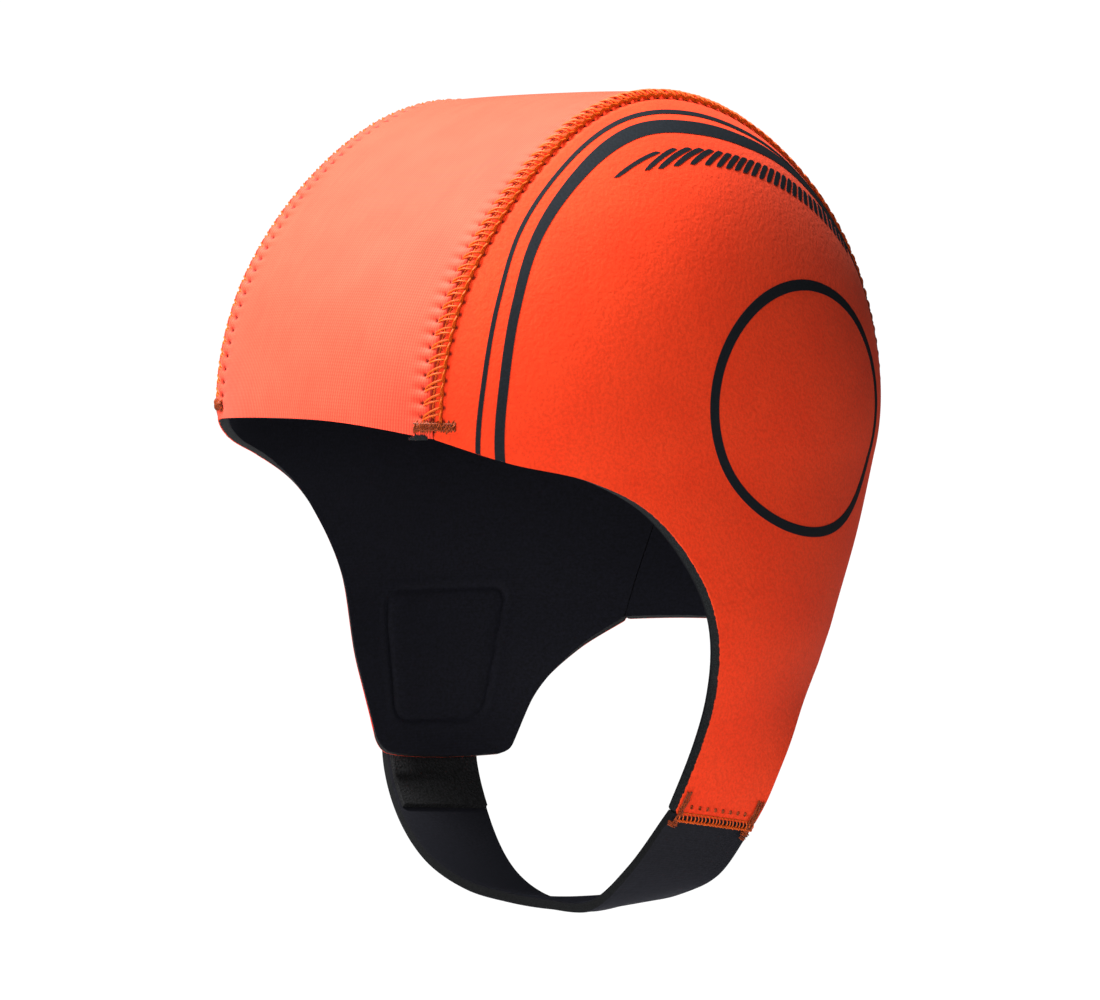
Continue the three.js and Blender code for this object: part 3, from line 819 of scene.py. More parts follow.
def centre_panel():
    """The strip over the crown, with its grid crowded where the seams raise and press it"""
    half_width = 54
    from_seam = crowded(first_step=0.55, last_step=3.2, near=9, total=half_width) / 2
    over = np.concatenate([from_seam, 1 - from_seam[-2::-1]])
    down = np.linspace(0, 1, CENTRE_ROWS["cloth"])
    station, guide = centre_guide(*mesh_of(down, over))
    walk = walked(form_point(guide), 1)
    middle = walk[:, [len(over) // 2]]
    beside = np.minimum(walk, walk[:, -1:] - walk) + SEAM_GAP / 2
    relief = flatlock_relief(beside, seam_length(station), False)
    outer_uv = np.stack([walk - middle, seam_length(station)], -1)
    inner_down, inner_over = np.linspace(0, 1, CENTRE_ROWS["lining"]), np.linspace(0, 1, 33)
    inner_station, inner_guide = centre_guide(*mesh_of(inner_down, inner_over))
    inner_across = (2 * inner_over[None] - 1) * half_width + 0 * inner_station
    inner_uv = np.stack([inner_across, seam_length(inner_station)], -1)
    return shell(
        "centre_panel_cloth",
        lifted(guide, relief),
        lifted(inner_guide, -WALL),
        (down, over),
        (inner_down, inner_over),
        (outer_uv, inner_uv),
        (CENTRE_JERSEY, CUT_EDGE, LINING),
        seam_place(beside, seam_length(station), 0),
    )


def flap_end(end, fractions):
    """The guide's points along a flap's end with its rounded corners, by fractions of its length"""
    front = math.radians(end["front"][0]) * RADIUS
    width = math.radians(end["rear"][0]) * RADIUS - front
    slant = (end["rear"][1] - end["front"][1]) / width
    corner = end["corner"]
    turns = np.linspace(0, math.pi / 2, 30)
    x = np.concatenate([corner - corner * np.cos(turns), width - corner + corner * np.sin(turns)])
    y = np.concatenate([corner - corner * np.sin(turns), corner - corner * np.cos(turns)])
    walk = walked(np.stack([x, y], -1))
    x = np.interp(fractions * walk[-1], walk, x)
    y = np.interp(fractions * walk[-1], walk, y)
    share = x / width
    bowed = 4 * end["bow"] * share * (1 - share)
    return guide_point(np.degrees((front + x) / RADIUS), end["front"][1] + slant * x + bowed - y)


def side_guide(name, u, v):
    """The guide's points on a side panel at every u of a row and v of a column: (v, u, 3).
    u runs along the seam from the brow and v from the seam to the flap's end."""
    form = SIDES[name]
    station = lerp(BROW[name], NAPE["seam"], u)
    ends = np.array([BROW[name], NAPE["seam"]])
    seam, corners = (guide_beside(at, strip_at(at) + SEAM_GAP / 2) for at in (station, ends))
    end = flap_end(form["end"], u)
    stops = flap_end(form["end"], np.array([0.0, 1.0]))
    edges = []
    for k, rows in enumerate((form["front"], form["rear"])):
        azimuth, drop = np.array(rows, float).T
        points = np.concatenate([corners[k : k + 1], guide_point(azimuth, drop), stops[k : k + 1]])
        edges.append(spline_through(points, v))
    u3, v3 = u[None, :, None], v[:, None, None]
    from_seam = lerp(seam[None], end[None], v3)
    from_edges = lerp(edges[0][:, None], edges[1][:, None], u3)
    from_corners = lerp(lerp(corners[0], corners[1], u3), lerp(stops[0], stops[1], u3), v3)
    return station, on_guide(from_seam + from_edges - from_corners)


def mirrored(points, name):
    return points * [SIDES[name]["side"], 1, 1]


def patch_relief(guide):
    """On the right flap's lining: the stitched outline of the loop patch as a groove round a puffed field"""
    azimuth = np.degrees(np.arctan2(guide[..., 0], -guide[..., 1]))
    drop = -guide[..., 2]
    t = (drop - LOOP_TOP[2]) / (LOOP_BOTTOM[2] - LOOP_TOP[2])
    middle = lerp(LOOP_TOP[0] + LOOP_TOP[1], LOOP_BOTTOM[0] + LOOP_BOTTOM[1], t) / 2
    half = np.radians(lerp(LOOP_TOP[1] - LOOP_TOP[0], LOOP_BOTTOM[1] - LOOP_BOTTOM[0], t) / 2) * RADIUS
    inset, groove_depth, puff_height, lip_height = 1.5, 0.75, 0.45, 0.25
    x = np.abs(np.radians(azimuth - middle) * RADIUS) - (half - inset) + LOOP_CORNER
    centre_drop = (LOOP_TOP[2] + LOOP_BOTTOM[2]) / 2
    y = np.abs(drop - centre_drop) - ((LOOP_BOTTOM[2] - LOOP_TOP[2]) / 2 - inset) + LOOP_CORNER
    outside = np.hypot(np.maximum(x, 0), np.maximum(y, 0)) + np.minimum(np.maximum(x, y), 0) - LOOP_CORNER
    groove = groove_depth * hump(outside, 0.75)
    puff = -puff_height / (1 + np.exp(outside / 0.5)) * (1 - hump(outside, 3))
    lip = -lip_height * hump(outside - 2.2, 1.3)
    return groove + puff + lip


def cut_slanting(name, guide, v):
    """Sets the outer face's front edge back where the cut through the wall slants towards the face"""
    edge = guide[:, 0]
    inward = np.cross(form_normal(edge), unit(np.gradient(edge, axis=0)))
    inward = inward * np.sign(dot(inward, guide[:, guide.shape[1] // 2] - edge))[:, None]
    back = CUT_SLANT[name] * np.clip((v - CUT_SLANT["from"]) / CUT_SLANT["over"], 0, 1)
    slanted = []
    for points in guide:
        gaps = np.linalg.norm(points[:, None] - edge, axis=-1)
        nearest = gaps.argmin(1)
        fading = np.clip(1 - gaps.min(1) / CUT_SLANT["fading"], 0, 1)
        slanted.append(points + (back[nearest] * fading)[:, None] * inward[nearest])
    return on_guide(np.array(slanted))


def lining_rows(fine):
    """Places from the seam to the flap's end for the lining's grid, closer at the patch's outline"""
    places = [np.arange(0, 1, LINING_STEP / PANEL_LENGTH), [1]]
    for middle in PATCH_OUTLINE_AT:
        start, stop = middle - PATCH_OUTLINE_REACH, middle + PATCH_OUTLINE_REACH
        places.append(np.arange(start, stop, fine / PANEL_LENGTH))
    rows = np.unique(np.concatenate(places))
    return rows[rows <= 1]


def side_panel(name):
    """A side with its ear flap, with its grid crowded at the seam"""
    u = np.linspace(0, 1, SIDE_COLUMNS["cloth"])
    v = crowded(first_step=0.6, last_step=2.9, near=7, total=PANEL_LENGTH)
    station, guide = side_guide(name, u, v)
    guide = cut_slanting(name, guide, v)
    surface = form_point(guide)
    walk = walked(surface)
    tangent = unit(np.gradient(surface[0], axis=0))
    slant = dot(unit(surface[3] - surface[0]), tangent)
    along = seam_length(station)[None] + walk * slant
    beside = walk * np.sqrt(1 - slant**2) + SEAM_GAP / 2
    relief = flatlock_relief(beside, along, True)
    outer_uv = np.stack([along, walk], -1)
    inner_u = np.linspace(0, 1, SIDE_COLUMNS["lining"])
    inner_v = lining_rows(fine=0.6 if name == "right" else 4)
    inner_station, inner_guide = side_guide(name, inner_u, inner_v)
    depth = np.full(inner_guide.shape[:2], float(WALL))
    if name == "right":
        depth = depth - patch_relief(inner_guide)
    inner_uv = np.stack([mesh_of(inner_v, seam_length(inner_station))[1], -inner_guide[..., 2]], -1)
    return shell(
        f"{name}_side_panel_cloth",
        mirrored(lifted(guide, relief), name),
        mirrored(lifted(inner_guide, -depth), name),
        (v, u),
        (inner_v, inner_u),
        (outer_uv, inner_uv),
        (SIDE_JERSEY, CUT_EDGE, LINING),
        seam_place(beside, along, STITCH["lean"] + LINK_START),
    )


# Print


def film(name, guide, side, finish=PRINT, lift=FILM):
    """A thin closed layer over a grid of the guide's points. Ink needs no map of the cloth."""
    top, bottom = (mirrored(lifted(guide, height), side) for height in (lift, -lift))
    at = tuple(np.arange(count) for count in guide.shape[:2])
    uv = np.full((*guide.shape[:2], 2), WALL / 2)
    piece = shell(name, top, bottom, at, at, (uv, uv), 3 * (finish,))
    if finish == PRINT:
        piece.data.uv_layers.remove(piece.data.uv_layers["cloth"])
    return piece


def beside_seam(station, distance):
    """The guide's points at stations of a seam and a distance from it, square to it, down the side panel"""
    seam = guide_beside(station, strip_at(station))
    ahead = guide_beside(station + 0.5, strip_at(station + 0.5))
    point, normal = head_point(seam), form_normal(seam)
    side = unit(np.cross(unit(head_point(ahead) - point), normal))
    side = side * np.sign(side[..., :1])
    turn = (distance / BEND)[..., None]
    return on_guide(point + BEND * (np.sin(turn) * side - (1 - np.cos(turn)) * normal))


def front_edge_station(name, distance):
    """Where the panel's front cut edge lies at a distance from the seam"""
    stations = np.linspace(-10, BROW[name] + 3, 60)
    guide = beside_seam(stations, np.full(60, distance))
    edge = side_guide(name, np.array([0.0]), np.linspace(0, 0.5, 200))[1][:, 0]
    turns = [np.arctan2(points[:, 0], -points[:, 1]) for points in (guide, edge)]
    over = guide[:, 2] - np.interp(turns[0], turns[1], edge[:, 2])
    return np.interp(0, over, stations)


def band(name, label, distance_column, width_column):
    """A printed band from the panel's front edge over the crown, thinning to its end behind"""
    middle_at, width_at = (
        curve_through([(dome(row[0]), row[k]) for row in BANDS]) for k in (distance_column, width_column)
    )
    end = dome(BANDS[-1][0])
    share = np.linspace(0, 1, 260)
    taper_length, least_share = 12, 0.05
    lines = []
    for offset in np.linspace(-0.5, 0.5, 4):
        start = front_edge_station(name, middle_at(0.0) + offset * width_at(0.0))
        station = lerp(start, end, share)
        taper = np.clip((end - station) / taper_length, least_share, 1)
        lines.append(beside_seam(station, middle_at(station) + offset * width_at(station) * taper))
    return film(f"{name}_print_{label}_band", np.stack(lines, 1), name)


def joined(name, parts):
    """Several meshes of one finish as one object"""
    mesh = bpy.data.meshes.new(name)
    vertices, faces = [], []
    for part in parts:
        base = len(vertices)
        vertices += [v.co[:] for v in part.data.vertices]
        faces += [[base + i for i in polygon.vertices] for polygon in part.data.polygons]
    material = parts[0].data.materials[0]
    for part in parts:
        bpy.data.objects.remove(part)
    mesh.from_pydata(vertices, [], faces)
    return finished(name, mesh, [material])


def dashes(name):
    """The row of slanted dashes: each runs from its foot to its head, cut off along the row"""
    columns = [curve_through([(row[0], row[k]) for row in DASHES]) for k in range(1, 6)]
    parts = []
    for number in range(DASHES[0][0], DASHES[-1][0] + 1):
        foot_angle, foot_distance, head_angle, head_distance, width = (at(float(number)) for at in columns)
        foot = np.array([dome(foot_angle), foot_distance])
        head = np.array([dome(head_angle), head_distance])
        length = np.linalg.norm(head - foot)
        ahead = (head - foot) / length
        across = np.array([-ahead[1], ahead[0]])
        down, over = mesh_of(np.linspace(0, 1, 9), np.linspace(-0.5, 0.5, 4))
        cut = over * np.clip(width * ahead[0] / max(-ahead[1], 0.1), -DASH_CUT, DASH_CUT)
        narrow = 1 - 0.3 * (2 * down - 1) ** 8
        spot = foot + (down * length + cut)[..., None] * ahead + (over * width * narrow)[..., None] * across
        parts.append(film(f"dash_{number}", beside_seam(spot[..., 0], spot[..., 1]), name))
    return joined(f"{name}_print_dashes", parts)


def ring(name):
    """The printed ring: an ellipse on a plane that touches the side, bent down onto the guide"""
    turn = math.radians(RING["azimuth"])
    middle = on_guide(np.array([RADIUS * math.sin(turn), -RADIUS * math.cos(turn), RING["rise"]]))
    centre, normal = head_point(middle), form_normal(middle)
    right = unit(np.cross([0, 0, 1.0], normal))
    up = np.cross(normal, right)
    angles = np.linspace(0, 2 * math.pi, 181)
    rows = []
    for offset in np.linspace(-0.5, 0.5, 4) * RING["line"]:
        across, down = RING["across"] + offset, RING["down"] + offset
        x, y = across * np.cos(angles), down * np.sin(angles)
        sink = (x**2 + y**2) / (2 * RING["bend"])
        spot = centre + x[:, None] * right + y[:, None] * up - sink[:, None] * normal
        rows.append(on_guide(spot))
    guide = np.array(rows)
    guide[:, -1] = guide[:, 0]
    layers = np.array([mirrored(lifted(guide, lift), name)[:, :-1] for lift in (FILM, -FILM)])
    bands, count = layers.shape[1:3]
    below = bands * count
    faces = []
    for i in range(count):
        j = (i + 1) % count
        for a in range(0, below - count, count):
            b = a + count
            faces.append((a + i, b + i, b + j, a + j))
            faces.append((below + a + j, below + b + j, below + b + i, below + a + i))
        for edge, flip in ((0, False), (below - count, True)):
            side = (edge + i, edge + j, below + edge + j, below + edge + i)
            faces.append(side[::-1] if flip else side)
    return closed(f"{name}_print_ring", layers.reshape(-1, 3), faces, PRINT)


# Stitches


def tube(points, radius, sides=6):
    """Vertices and faces of a closed round tube along points, in millimetres"""
    points = np.array(points, float)
    ahead = unit(np.gradient(points, axis=0))
    helper = np.array([0, 0, 1.0]) if abs(ahead[0][2]) < 0.9 else np.array([1.0, 0, 0])
    first = unit(np.cross(ahead, helper))
    second = np.cross(ahead, first)
    turns = np.arange(sides) * 2 * math.pi / sides
    circle = np.cos(turns)[None, :, None] * first[:, None] + np.sin(turns)[None, :, None] * second[:, None]
    vertices = (points[:, None] + radius * circle).reshape(-1, 3)
    faces = []
    for i in range(len(points) - 1):
        for j in range(sides):
            k = (j + 1) % sides
            faces.append((i * sides + j, i * sides + k, (i + 1) * sides + k, (i + 1) * sides + j))
    faces.append(tuple(range(sides))[::-1])
    last = (len(points) - 1) * sides
    faces.append(tuple(last + j for j in range(sides)))
    return vertices, faces


def tubes(name, routes, material):
    """One piece of several tubes: routes are (points, radius)"""
    vertices, faces = [], []
    for points, radius in routes:
        made, made_faces = tube(points, radius)
        base = len(vertices)
        vertices += made.tolist()
        faces += [tuple(base + i for i in face) for face in made_faces]
    return closed(name, np.array(vertices), faces, material)


def arched(start, stop, rise, steps=6):
    """A thread between two points that arches outward between them"""
    t = np.linspace(0, 1, steps)[:, None]
    line = lerp(np.array(start, float), np.array(stop, float), t)
    line[:, 2:] += rise * 4 * t * (1 - t)
    return line


def crossing_threads():
    """The two threads of one stitch, laid flat: X is across the seam towards the side panel, Y along it"""
    left, right, lean, radius = STITCH["left"], STITCH["right"], STITCH["lean"], STITCH["thread"]
    upper = arched((left, 0.05, -0.1), (right + 0.1, lean + 0.8, 0.2), 0.26, 9)
    lower = arched((left + 0.1, -0.4, -0.1), (right, lean - 0.8, 0.15), 0.22, 9)
    return tubes("crossing_threads", [(upper, radius), (lower, radius)], THREAD)


def chain_link():
    """One link of the chain along the side panel, with the thread and the cloth that show down in the slot"""
    right, pitch, lean = STITCH["right"], STITCH["pitch"], STITCH["lean"]
    start, stop = lean + LINK_START - pitch, lean + 0.6
    link = arched((right - 0.1, start, 0.2), (right + 0.25, stop, 0.1), 0.36, 9)
    under = arched((right + 0.3, start - 0.3, 0.0), (right + 0.05, stop - 0.6, 0.05), 0.3, 9)
    walk = np.linspace(0, pitch, 7)
    slot_fill = np.stack([0 * walk, walk, -0.95 + 0 * walk], -1)
    return tubes("chain_link", [(link, 0.31), (under, 0.24), (slot_fill, 0.4)], THREAD)


def stitching_tree():
    """A straight row of stitches at an even pitch, each turned and sized a little unevenly"""
    tree = bpy.data.node_groups.new("stitch_row", "GeometryNodeTree")
    kinds = {
        "Stitch": "NodeSocketObject",
        "Count": "NodeSocketInt",
        "Pitch": "NodeSocketFloat",
        "Unevenness": "NodeSocketFloat",
        "Seed": "NodeSocketInt",
    }
    for label, kind in kinds.items():
        tree.interface.new_socket(label, in_out="INPUT", socket_type=kind)
    tree.interface.new_socket("Stitches", in_out="OUTPUT", socket_type="NodeSocketGeometry")
    given = add(tree, "NodeGroupInput").outputs
    step = add(tree, "ShaderNodeCombineXYZ", {"Y": given["Pitch"]})
    places = add(tree, "GeometryNodeMeshLine", {"Count": given["Count"], "Offset": step.outputs["Vector"]})
    template = add(tree, "GeometryNodeObjectInfo", {"Object": given["Stitch"]}, transform_space="ORIGINAL")
    least = math_node(tree, "SUBTRACT", 1.0, given["Unevenness"])
    most = math_node(tree, "ADD", 1.0, given["Unevenness"])
    size = add(tree, "FunctionNodeRandomValue", {2: least, 3: most, "Seed": given["Seed"]})
    against = math_node(tree, "MULTIPLY", given["Unevenness"], -1.0)
    turn = add(tree, "FunctionNodeRandomValue", {2: against, 3: given["Unevenness"], "Seed": given["Seed"]})
    turned = add(tree, "ShaderNodeCombineXYZ", {"Z": turn.outputs[1]})
    placed = add(
        tree,
        "GeometryNodeInstanceOnPoints",
        {
            "Points": places.outputs["Mesh"],
            "Instance": template.outputs["Geometry"],
            "Rotation": turned.outputs["Vector"],
            "Scale": size.outputs[1],
        },
    )
    real = add(tree, "GeometryNodeRealizeInstances", {"Geometry": placed.outputs["Instances"]})
    add(tree, "NodeGroupOutput", {"Stitches": real.outputs["Geometry"]})
    return tree


STITCH_ROW = stitching_tree()


def stitch_row(name, template, count, unevenness, seed):
    """A straight row of stitches made by the stitch tree, as points in millimetres and faces"""
    holder = bpy.data.objects.new(name, bpy.data.meshes.new(name))
    bpy.context.scene.collection.objects.link(holder)
    modifier = holder.modifiers.new("stitches", "NODES")
    modifier.node_group = STITCH_ROW
    values = {
        "Stitch": template,
        "Count": count,
        "Pitch": STITCH["pitch"] * MM,
        "Unevenness": unevenness,
        "Seed": seed,
    }
    for item in STITCH_ROW.interface.items_tree:
        if item.in_out == "INPUT":
            modifier[item.identifier] = values[item.name]
    depsgraph = bpy.context.evaluated_depsgraph_get()
    made = bpy.data.meshes.new_from_object(holder.evaluated_get(depsgraph))
    bpy.data.objects.remove(holder)
    bpy.data.objects.remove(template)
    points = np.empty(3 * len(made.vertices))
    made.vertices.foreach_get("co", points)
    return points.reshape(-1, 3) / MM, [tuple(polygon.vertices) for polygon in made.polygons]


def on_seam(points, name):
    """Points laid flat beside the seam (across, along from the brow, lift) set on the sewn cloth"""
    across, along, lift = points.T
    station = np.interp(along, SEAM_WALK, SEAM_STATIONS)
    over_centre, over_side = (flatlock_relief(np.abs(across), along, over, 0) for over in (False, True))
    raised = np.where(across > 0, over_side, over_centre)
    return mirrored(lifted(beside_seam(station, across), lift + raised), name)


def first_stitch(name):
    return STITCH_START + SKIPPED[name] * STITCH["pitch"]


def flatlock_seam(name):
    """The crossing threads and the chain of one seam"""
    rows = [("crossing_threads", crossing_threads(), 0.05), ("chain", chain_link(), 0)]
    pieces = []
    for seed, (label, template, unevenness) in enumerate(rows):
        row_name = f"{name}_seam_{label}"
        points, faces = stitch_row(row_name, template, STITCH_COUNT - SKIPPED[name], unevenness, seed)
        points[:, 1] += first_stitch(name)
        points[:, 2] -= PULLED_TIGHT[name]
        pieces.append(closed(row_name, on_seam(points, name), faces, THREAD, 80))
    return pieces


def worn_foot(name):
    """Where the jersey has frayed off the brow edge beside a seam's foot, the foam shows"""
    rng = np.random.default_rng(3)
    count = 26
    across = np.linspace(-8, -1.6, count)
    ragged = 1.5 * np.sin(np.linspace(0.15, 2.7, count)) ** 0.7 + 0.22 * rng.standard_normal(count)
    station = SEAM_STATIONS[0] + np.linspace(-0.15, 1, 6)[None] * np.maximum(ragged, 0.1)[:, None]
    guide = beside_seam(station, across[:, None] + 0 * station)
    return film(f"{name}_worn_foot", guide, name, CUT_EDGE, 0.18)


def bar_tack(name, along, label):
    """A bar tack across the end of a seam: dense short threads wound over a few long ones"""
    rng = np.random.default_rng(11)
    half = TACK_WIDTH / 2
    routes = []
    for row in (-0.8, 0, 0.8):
        across = np.linspace(-half, half, 14)
        wander = rng.standard_normal((2, len(across)))
        routes.append((np.stack([across, along + row + 0.15 * wander[0], 0.35 + 0.08 * wander[1]], -1), 0.3))
    count = 28
    for k in range(count):
        across = lerp(-half + 0.3, half - 0.3, k / (count - 1)) + 0.15 * rng.standard_normal()
        tilt = 0.5 + 0.3 * rng.standard_normal()
        reach = 1.3 + 0.25 * rng.standard_normal()
        start, stop = (across - tilt, along - reach, -0.1), (across + tilt, along + reach, -0.1)
        routes.append((arched(start, stop, 0.75), 0.22))
    flat = [(on_seam(points, name), radius) for points, radius in routes]
    return tubes(f"{name}_{label}_tack", flat, TACK_THREAD)


# Strap

FLAP_END = SIDES["left"]["end"]["front"], SIDES["left"]["end"]["rear"]


def on_flap_end(share, down, lift):
    """Points at shares of the left flap's end from front to rear, below it and off the cloth by distances"""
    azimuth, drop = (lerp(front, rear, share) for front, rear in zip(*FLAP_END))
    return lifted(guide_point(azimuth, drop + down), lift)


def strap_sections(columns):
    """The strap's sections from the left flap to its free end: (section, column, face, 3), inner face first"""
    sections = [np.stack([on_flap_end((columns + 1) / 2, 0, lift) for lift in (-WALL, 0)], 1)]
    free = np.array(STRAP_FREE, float)
    middle = free[:, :3] + [0, 0, EQUATOR]
    for k, row in enumerate(free):
        before, after = middle[max(0, k - 1)], middle[min(len(middle) - 1, k + 1)]
        along = unit(after - before)
        backward = unit(np.array([0, 1, 0]) - along * along[1])
        tilt = math.radians(row[3])
        across = backward * math.cos(tilt) + np.cross(along, backward) * math.sin(tilt)
        outward = np.cross(along, across)
        centre = middle[k] + columns[:, None] * across * STRAP_WIDTH / 2
        sections.append(np.stack([centre - outward * WALL / 2, centre + outward * WALL / 2], 1))
    seat = PATCH_SEAT + 2 * FIT_GAP + 2 * PATCH_THICK
    for azimuth, drop in STRAP_ON_FLAP:
        beside = form_point(guide_point(np.float64(azimuth), drop))
        radius = math.hypot(beside[0], beside[1]) + seat + WALL / 2
        turn = np.degrees(columns * STRAP_WIDTH / 2 / radius)
        guide = guide_point(azimuth + turn, drop)
        pair = [mirrored(lifted(guide, lift), "right") for lift in (seat, seat + WALL)]
        sections.append(np.stack(pair, 1))
    return np.array(sections)


STRAP_COLUMNS = np.linspace(-1, 1, 25)
STRAP_SECTIONS = strap_sections(STRAP_COLUMNS)
STRAP_MIDDLE = STRAP_SECTIONS[:, len(STRAP_COLUMNS) // 2, 0]
STRAP_LENGTH = walked(spline_through(STRAP_MIDDLE, np.linspace(0, 1, 800)))[-1]
HOOK_LENGTH = STRAP_ON_FLAP[0][1] - STRAP_ON_FLAP[-1][1] + HOOK_BELOW_FLAP


def strap_faces(places, sides):
    """The strap's inner and outer points at places along it and sides across it: (place, side, 3) each"""
    grids = []
    for face in (0, 1):
        curves = spline_through(STRAP_SECTIONS[:, :, face], places)
        grid = np.empty((*sides.shape, 3))
        for i in range(len(places)):
            for k in range(3):
                grid[i, :, k] = np.interp(sides[i], STRAP_COLUMNS, curves[i, :, k])
        grids.append(grid)
    return grids


def rounded_half(half, corner, distance):
    """Half the width of a strip at a distance from its end with rounded corners"""
    missing = np.clip(corner - distance, 0, corner)
    return half - corner + np.sqrt(np.maximum(corner**2 - missing**2, 0))


def end_crowded(count, total, corner):
    """Places from 0 to 1 along a strip, crowded towards its rounded end"""
    straight = 1 - corner / total
    turns = np.linspace(0, math.pi / 2, 12)[1:]
    return np.concatenate([np.linspace(0, straight, count), straight + (1 - straight) * np.sin(turns)])


def chin_strap():
    """The strap, pressed in across its inner face where the hook tape ends, with its long edges rounded"""
    press_depth, press_width, rounding_depth, rounded_from = 0.45, 0.8, 0.25, 0.9
    places = end_crowded(230, STRAP_LENGTH, STRAP_CORNER)
    half = STRAP_WIDTH / 2
    width = rounded_half(half, STRAP_CORNER, (1 - places) * STRAP_LENGTH) / half
    across = np.linspace(-1, 1, 33)
    inner, outer = strap_faces(places, width[:, None] * across[None])
    normal = unit(outer - inner)
    walk = places * STRAP_LENGTH
    patch_end = STRAP_LENGTH - HOOK_LENGTH
    press = hump(walk - patch_end, press_width)[:, None] * (np.abs(across) < 0.93)
    inner = inner + normal * (press_depth * press)[..., None]
    rounding = rounding_depth * np.clip((np.abs(across) - rounded_from) / (1 - rounded_from), 0, 1) ** 2
    outer = outer - normal * rounding[None, :, None]
    inner = inner + normal * rounding[None, :, None]
    uv = np.stack(mesh_of(walk, across * half)[::-1], -1)
    at = (places, across)
    return shell("chin_strap_cloth", outer, inner, at, at, (uv, uv), (STRAP_JERSEY, STRAP_EDGE, STRAP_JERSEY))


def tape(name, outer, inner, at, material):
    """A patch of fastening tape, whose finish needs no map of the cloth"""
    uv = np.zeros((*outer.shape[:2], 2))
    return shell(name, outer, inner, at, at, (uv, uv), 3 * (material,))


def hook_patch():
    """The hook tape on the strap's inner face, from its free end on"""
    first, last = (1 - distance / STRAP_LENGTH for distance in (HOOK_LENGTH, HOOK_END_INSET))
    corner = STRAP_CORNER - HOOK_INSET
    places = lerp(first, last, end_crowded(70, HOOK_LENGTH, corner))
    half = STRAP_WIDTH / 2
    width = rounded_half(half - HOOK_INSET, corner, (last - places) * STRAP_LENGTH) / half
    across = np.linspace(-1, 1, 25)
    inner, outer = strap_faces(places, width[:, None] * across[None])
    inward = unit(inner - outer)
    back, face = (inner + inward * lift for lift in (HOOK_OFF_STRAP, FIT_GAP + PATCH_THICK))
    return tape("hook_tape", back, face, (places, across), HOOK_TAPE)


def loop_patch():
    """The loop tape on the outside of the right flap"""
    u = (1 - np.cos(np.linspace(0, math.pi, 60))) / 2
    across = np.linspace(-1, 1, 41)
    front, rear = lerp(LOOP_TOP[0], LOOP_BOTTOM[0], u), lerp(LOOP_TOP[1], LOOP_BOTTOM[1], u)
    half = np.radians((rear - front) / 2) * RADIUS
    height = LOOP_BOTTOM[2] - LOOP_TOP[2]
    width = rounded_half(half, LOOP_CORNER, np.minimum(u, 1 - u) * height) / half
    azimuth = (front + rear)[:, None] / 2 + across[None] * (width * (rear - front) / 2)[:, None]
    drop = lerp(LOOP_TOP[2], LOOP_BOTTOM[2], u)[:, None] + 0 * azimuth
    guide = guide_point(azimuth, drop)
    face, back = (mirrored(lifted(guide, PATCH_SEAT + lift), "right") for lift in (PATCH_THICK, 0))
    return tape("loop_tape", face, back, (u, across), LOOP_TAPE)


# The seam that joins the strap to the left flap

# Its width, where the cloth lies about 80 mm from the middle of the head, and how far apart its stitches and
# needle holes are
FLAP_REACH = 80
STRAP_SEAM_WIDTH = math.radians(FLAP_END[1][0] - FLAP_END[0][0]) * FLAP_REACH
CROSSINGS = int(STRAP_SEAM_WIDTH / 1.45)
NEEDLE_HOLES = int(STRAP_SEAM_WIDTH / 3.5)
# The lines of thread along it: (distance below it, lift, how far both swing, thread's radius)
SEAM_LINES = [
    (1.6, 0.35, (0.15, 0.15), 0.26),
    (1.75, 0.35, (-0.15, -0.15), 0.22),
    (-0.55, 0.1, (0.05, 0), 0.15),
]
# Its two tacks: (lower end's share of the width, upper end's share, number of long threads)
SEAM_TACKS = [(0.0, 0.13, 3), (0.9, 0.98, 5)]


def strap_seam_stitches(rng):
    """Threads that cross the seam, and the lines of thread they hold"""
    routes = []
    down = np.linspace(-0.5, 1.5, 6)
    lift = 0.1 + 0.55 * np.sin(np.linspace(0, math.pi, 6))
    for k in range(1, CROSSINGS):
        start = 0.1 * rng.standard_normal()
        shares = k / CROSSINGS + np.linspace(0, 0.35 / STRAP_SEAM_WIDTH, 6) + start / STRAP_SEAM_WIDTH
        routes.append((on_flap_end(shares, down, lift), 0.17))
    shares = np.linspace(0.03, 0.97, 60)
    wave = np.sin(np.linspace(0, 2 * math.pi * CROSSINGS, 60))
    for below, off, (down_swing, lift_swing), radius in SEAM_LINES:
        routes.append((on_flap_end(shares, below + down_swing * wave, off + lift_swing * wave), radius))
    return tubes("strap_seam_stitches", routes, THREAD)


def strap_seam_tacks(rng):
    """Bundles of long threads up from the strap's corners, with short threads wound over their lower ends"""
    width = STRAP_SEAM_WIDTH
    routes = []
    for foot, head, threads in SEAM_TACKS:
        for k in range(threads):
            t = np.linspace(0, 1, 9)
            shift = 0.5 * (k - (threads - 1) / 2) / width
            shares = lerp(foot, head, t) + shift + 0.25 * rng.standard_normal(9) / width
            down = lerp(3.2, -6.3, t) + 0.15 * rng.standard_normal(9)
            routes.append((on_flap_end(shares, down, 0.3 + 0.2 * np.sin(math.pi * t)), 0.24))
        for k in range(7):
            share = foot + 0.4 * rng.standard_normal() / width
            shares = np.linspace(share - 1.3 / width, share + 1.3 / width, 5)
            down = 3 + 0.5 * rng.standard_normal() + np.linspace(-0.3, 0.3, 5)
            lift = 0.15 + 0.35 * np.sin(np.linspace(0, math.pi, 5))
            routes.append((on_flap_end(shares, down, lift), 0.22))
    return tubes("strap_seam_tacks", routes, TACK_THREAD)


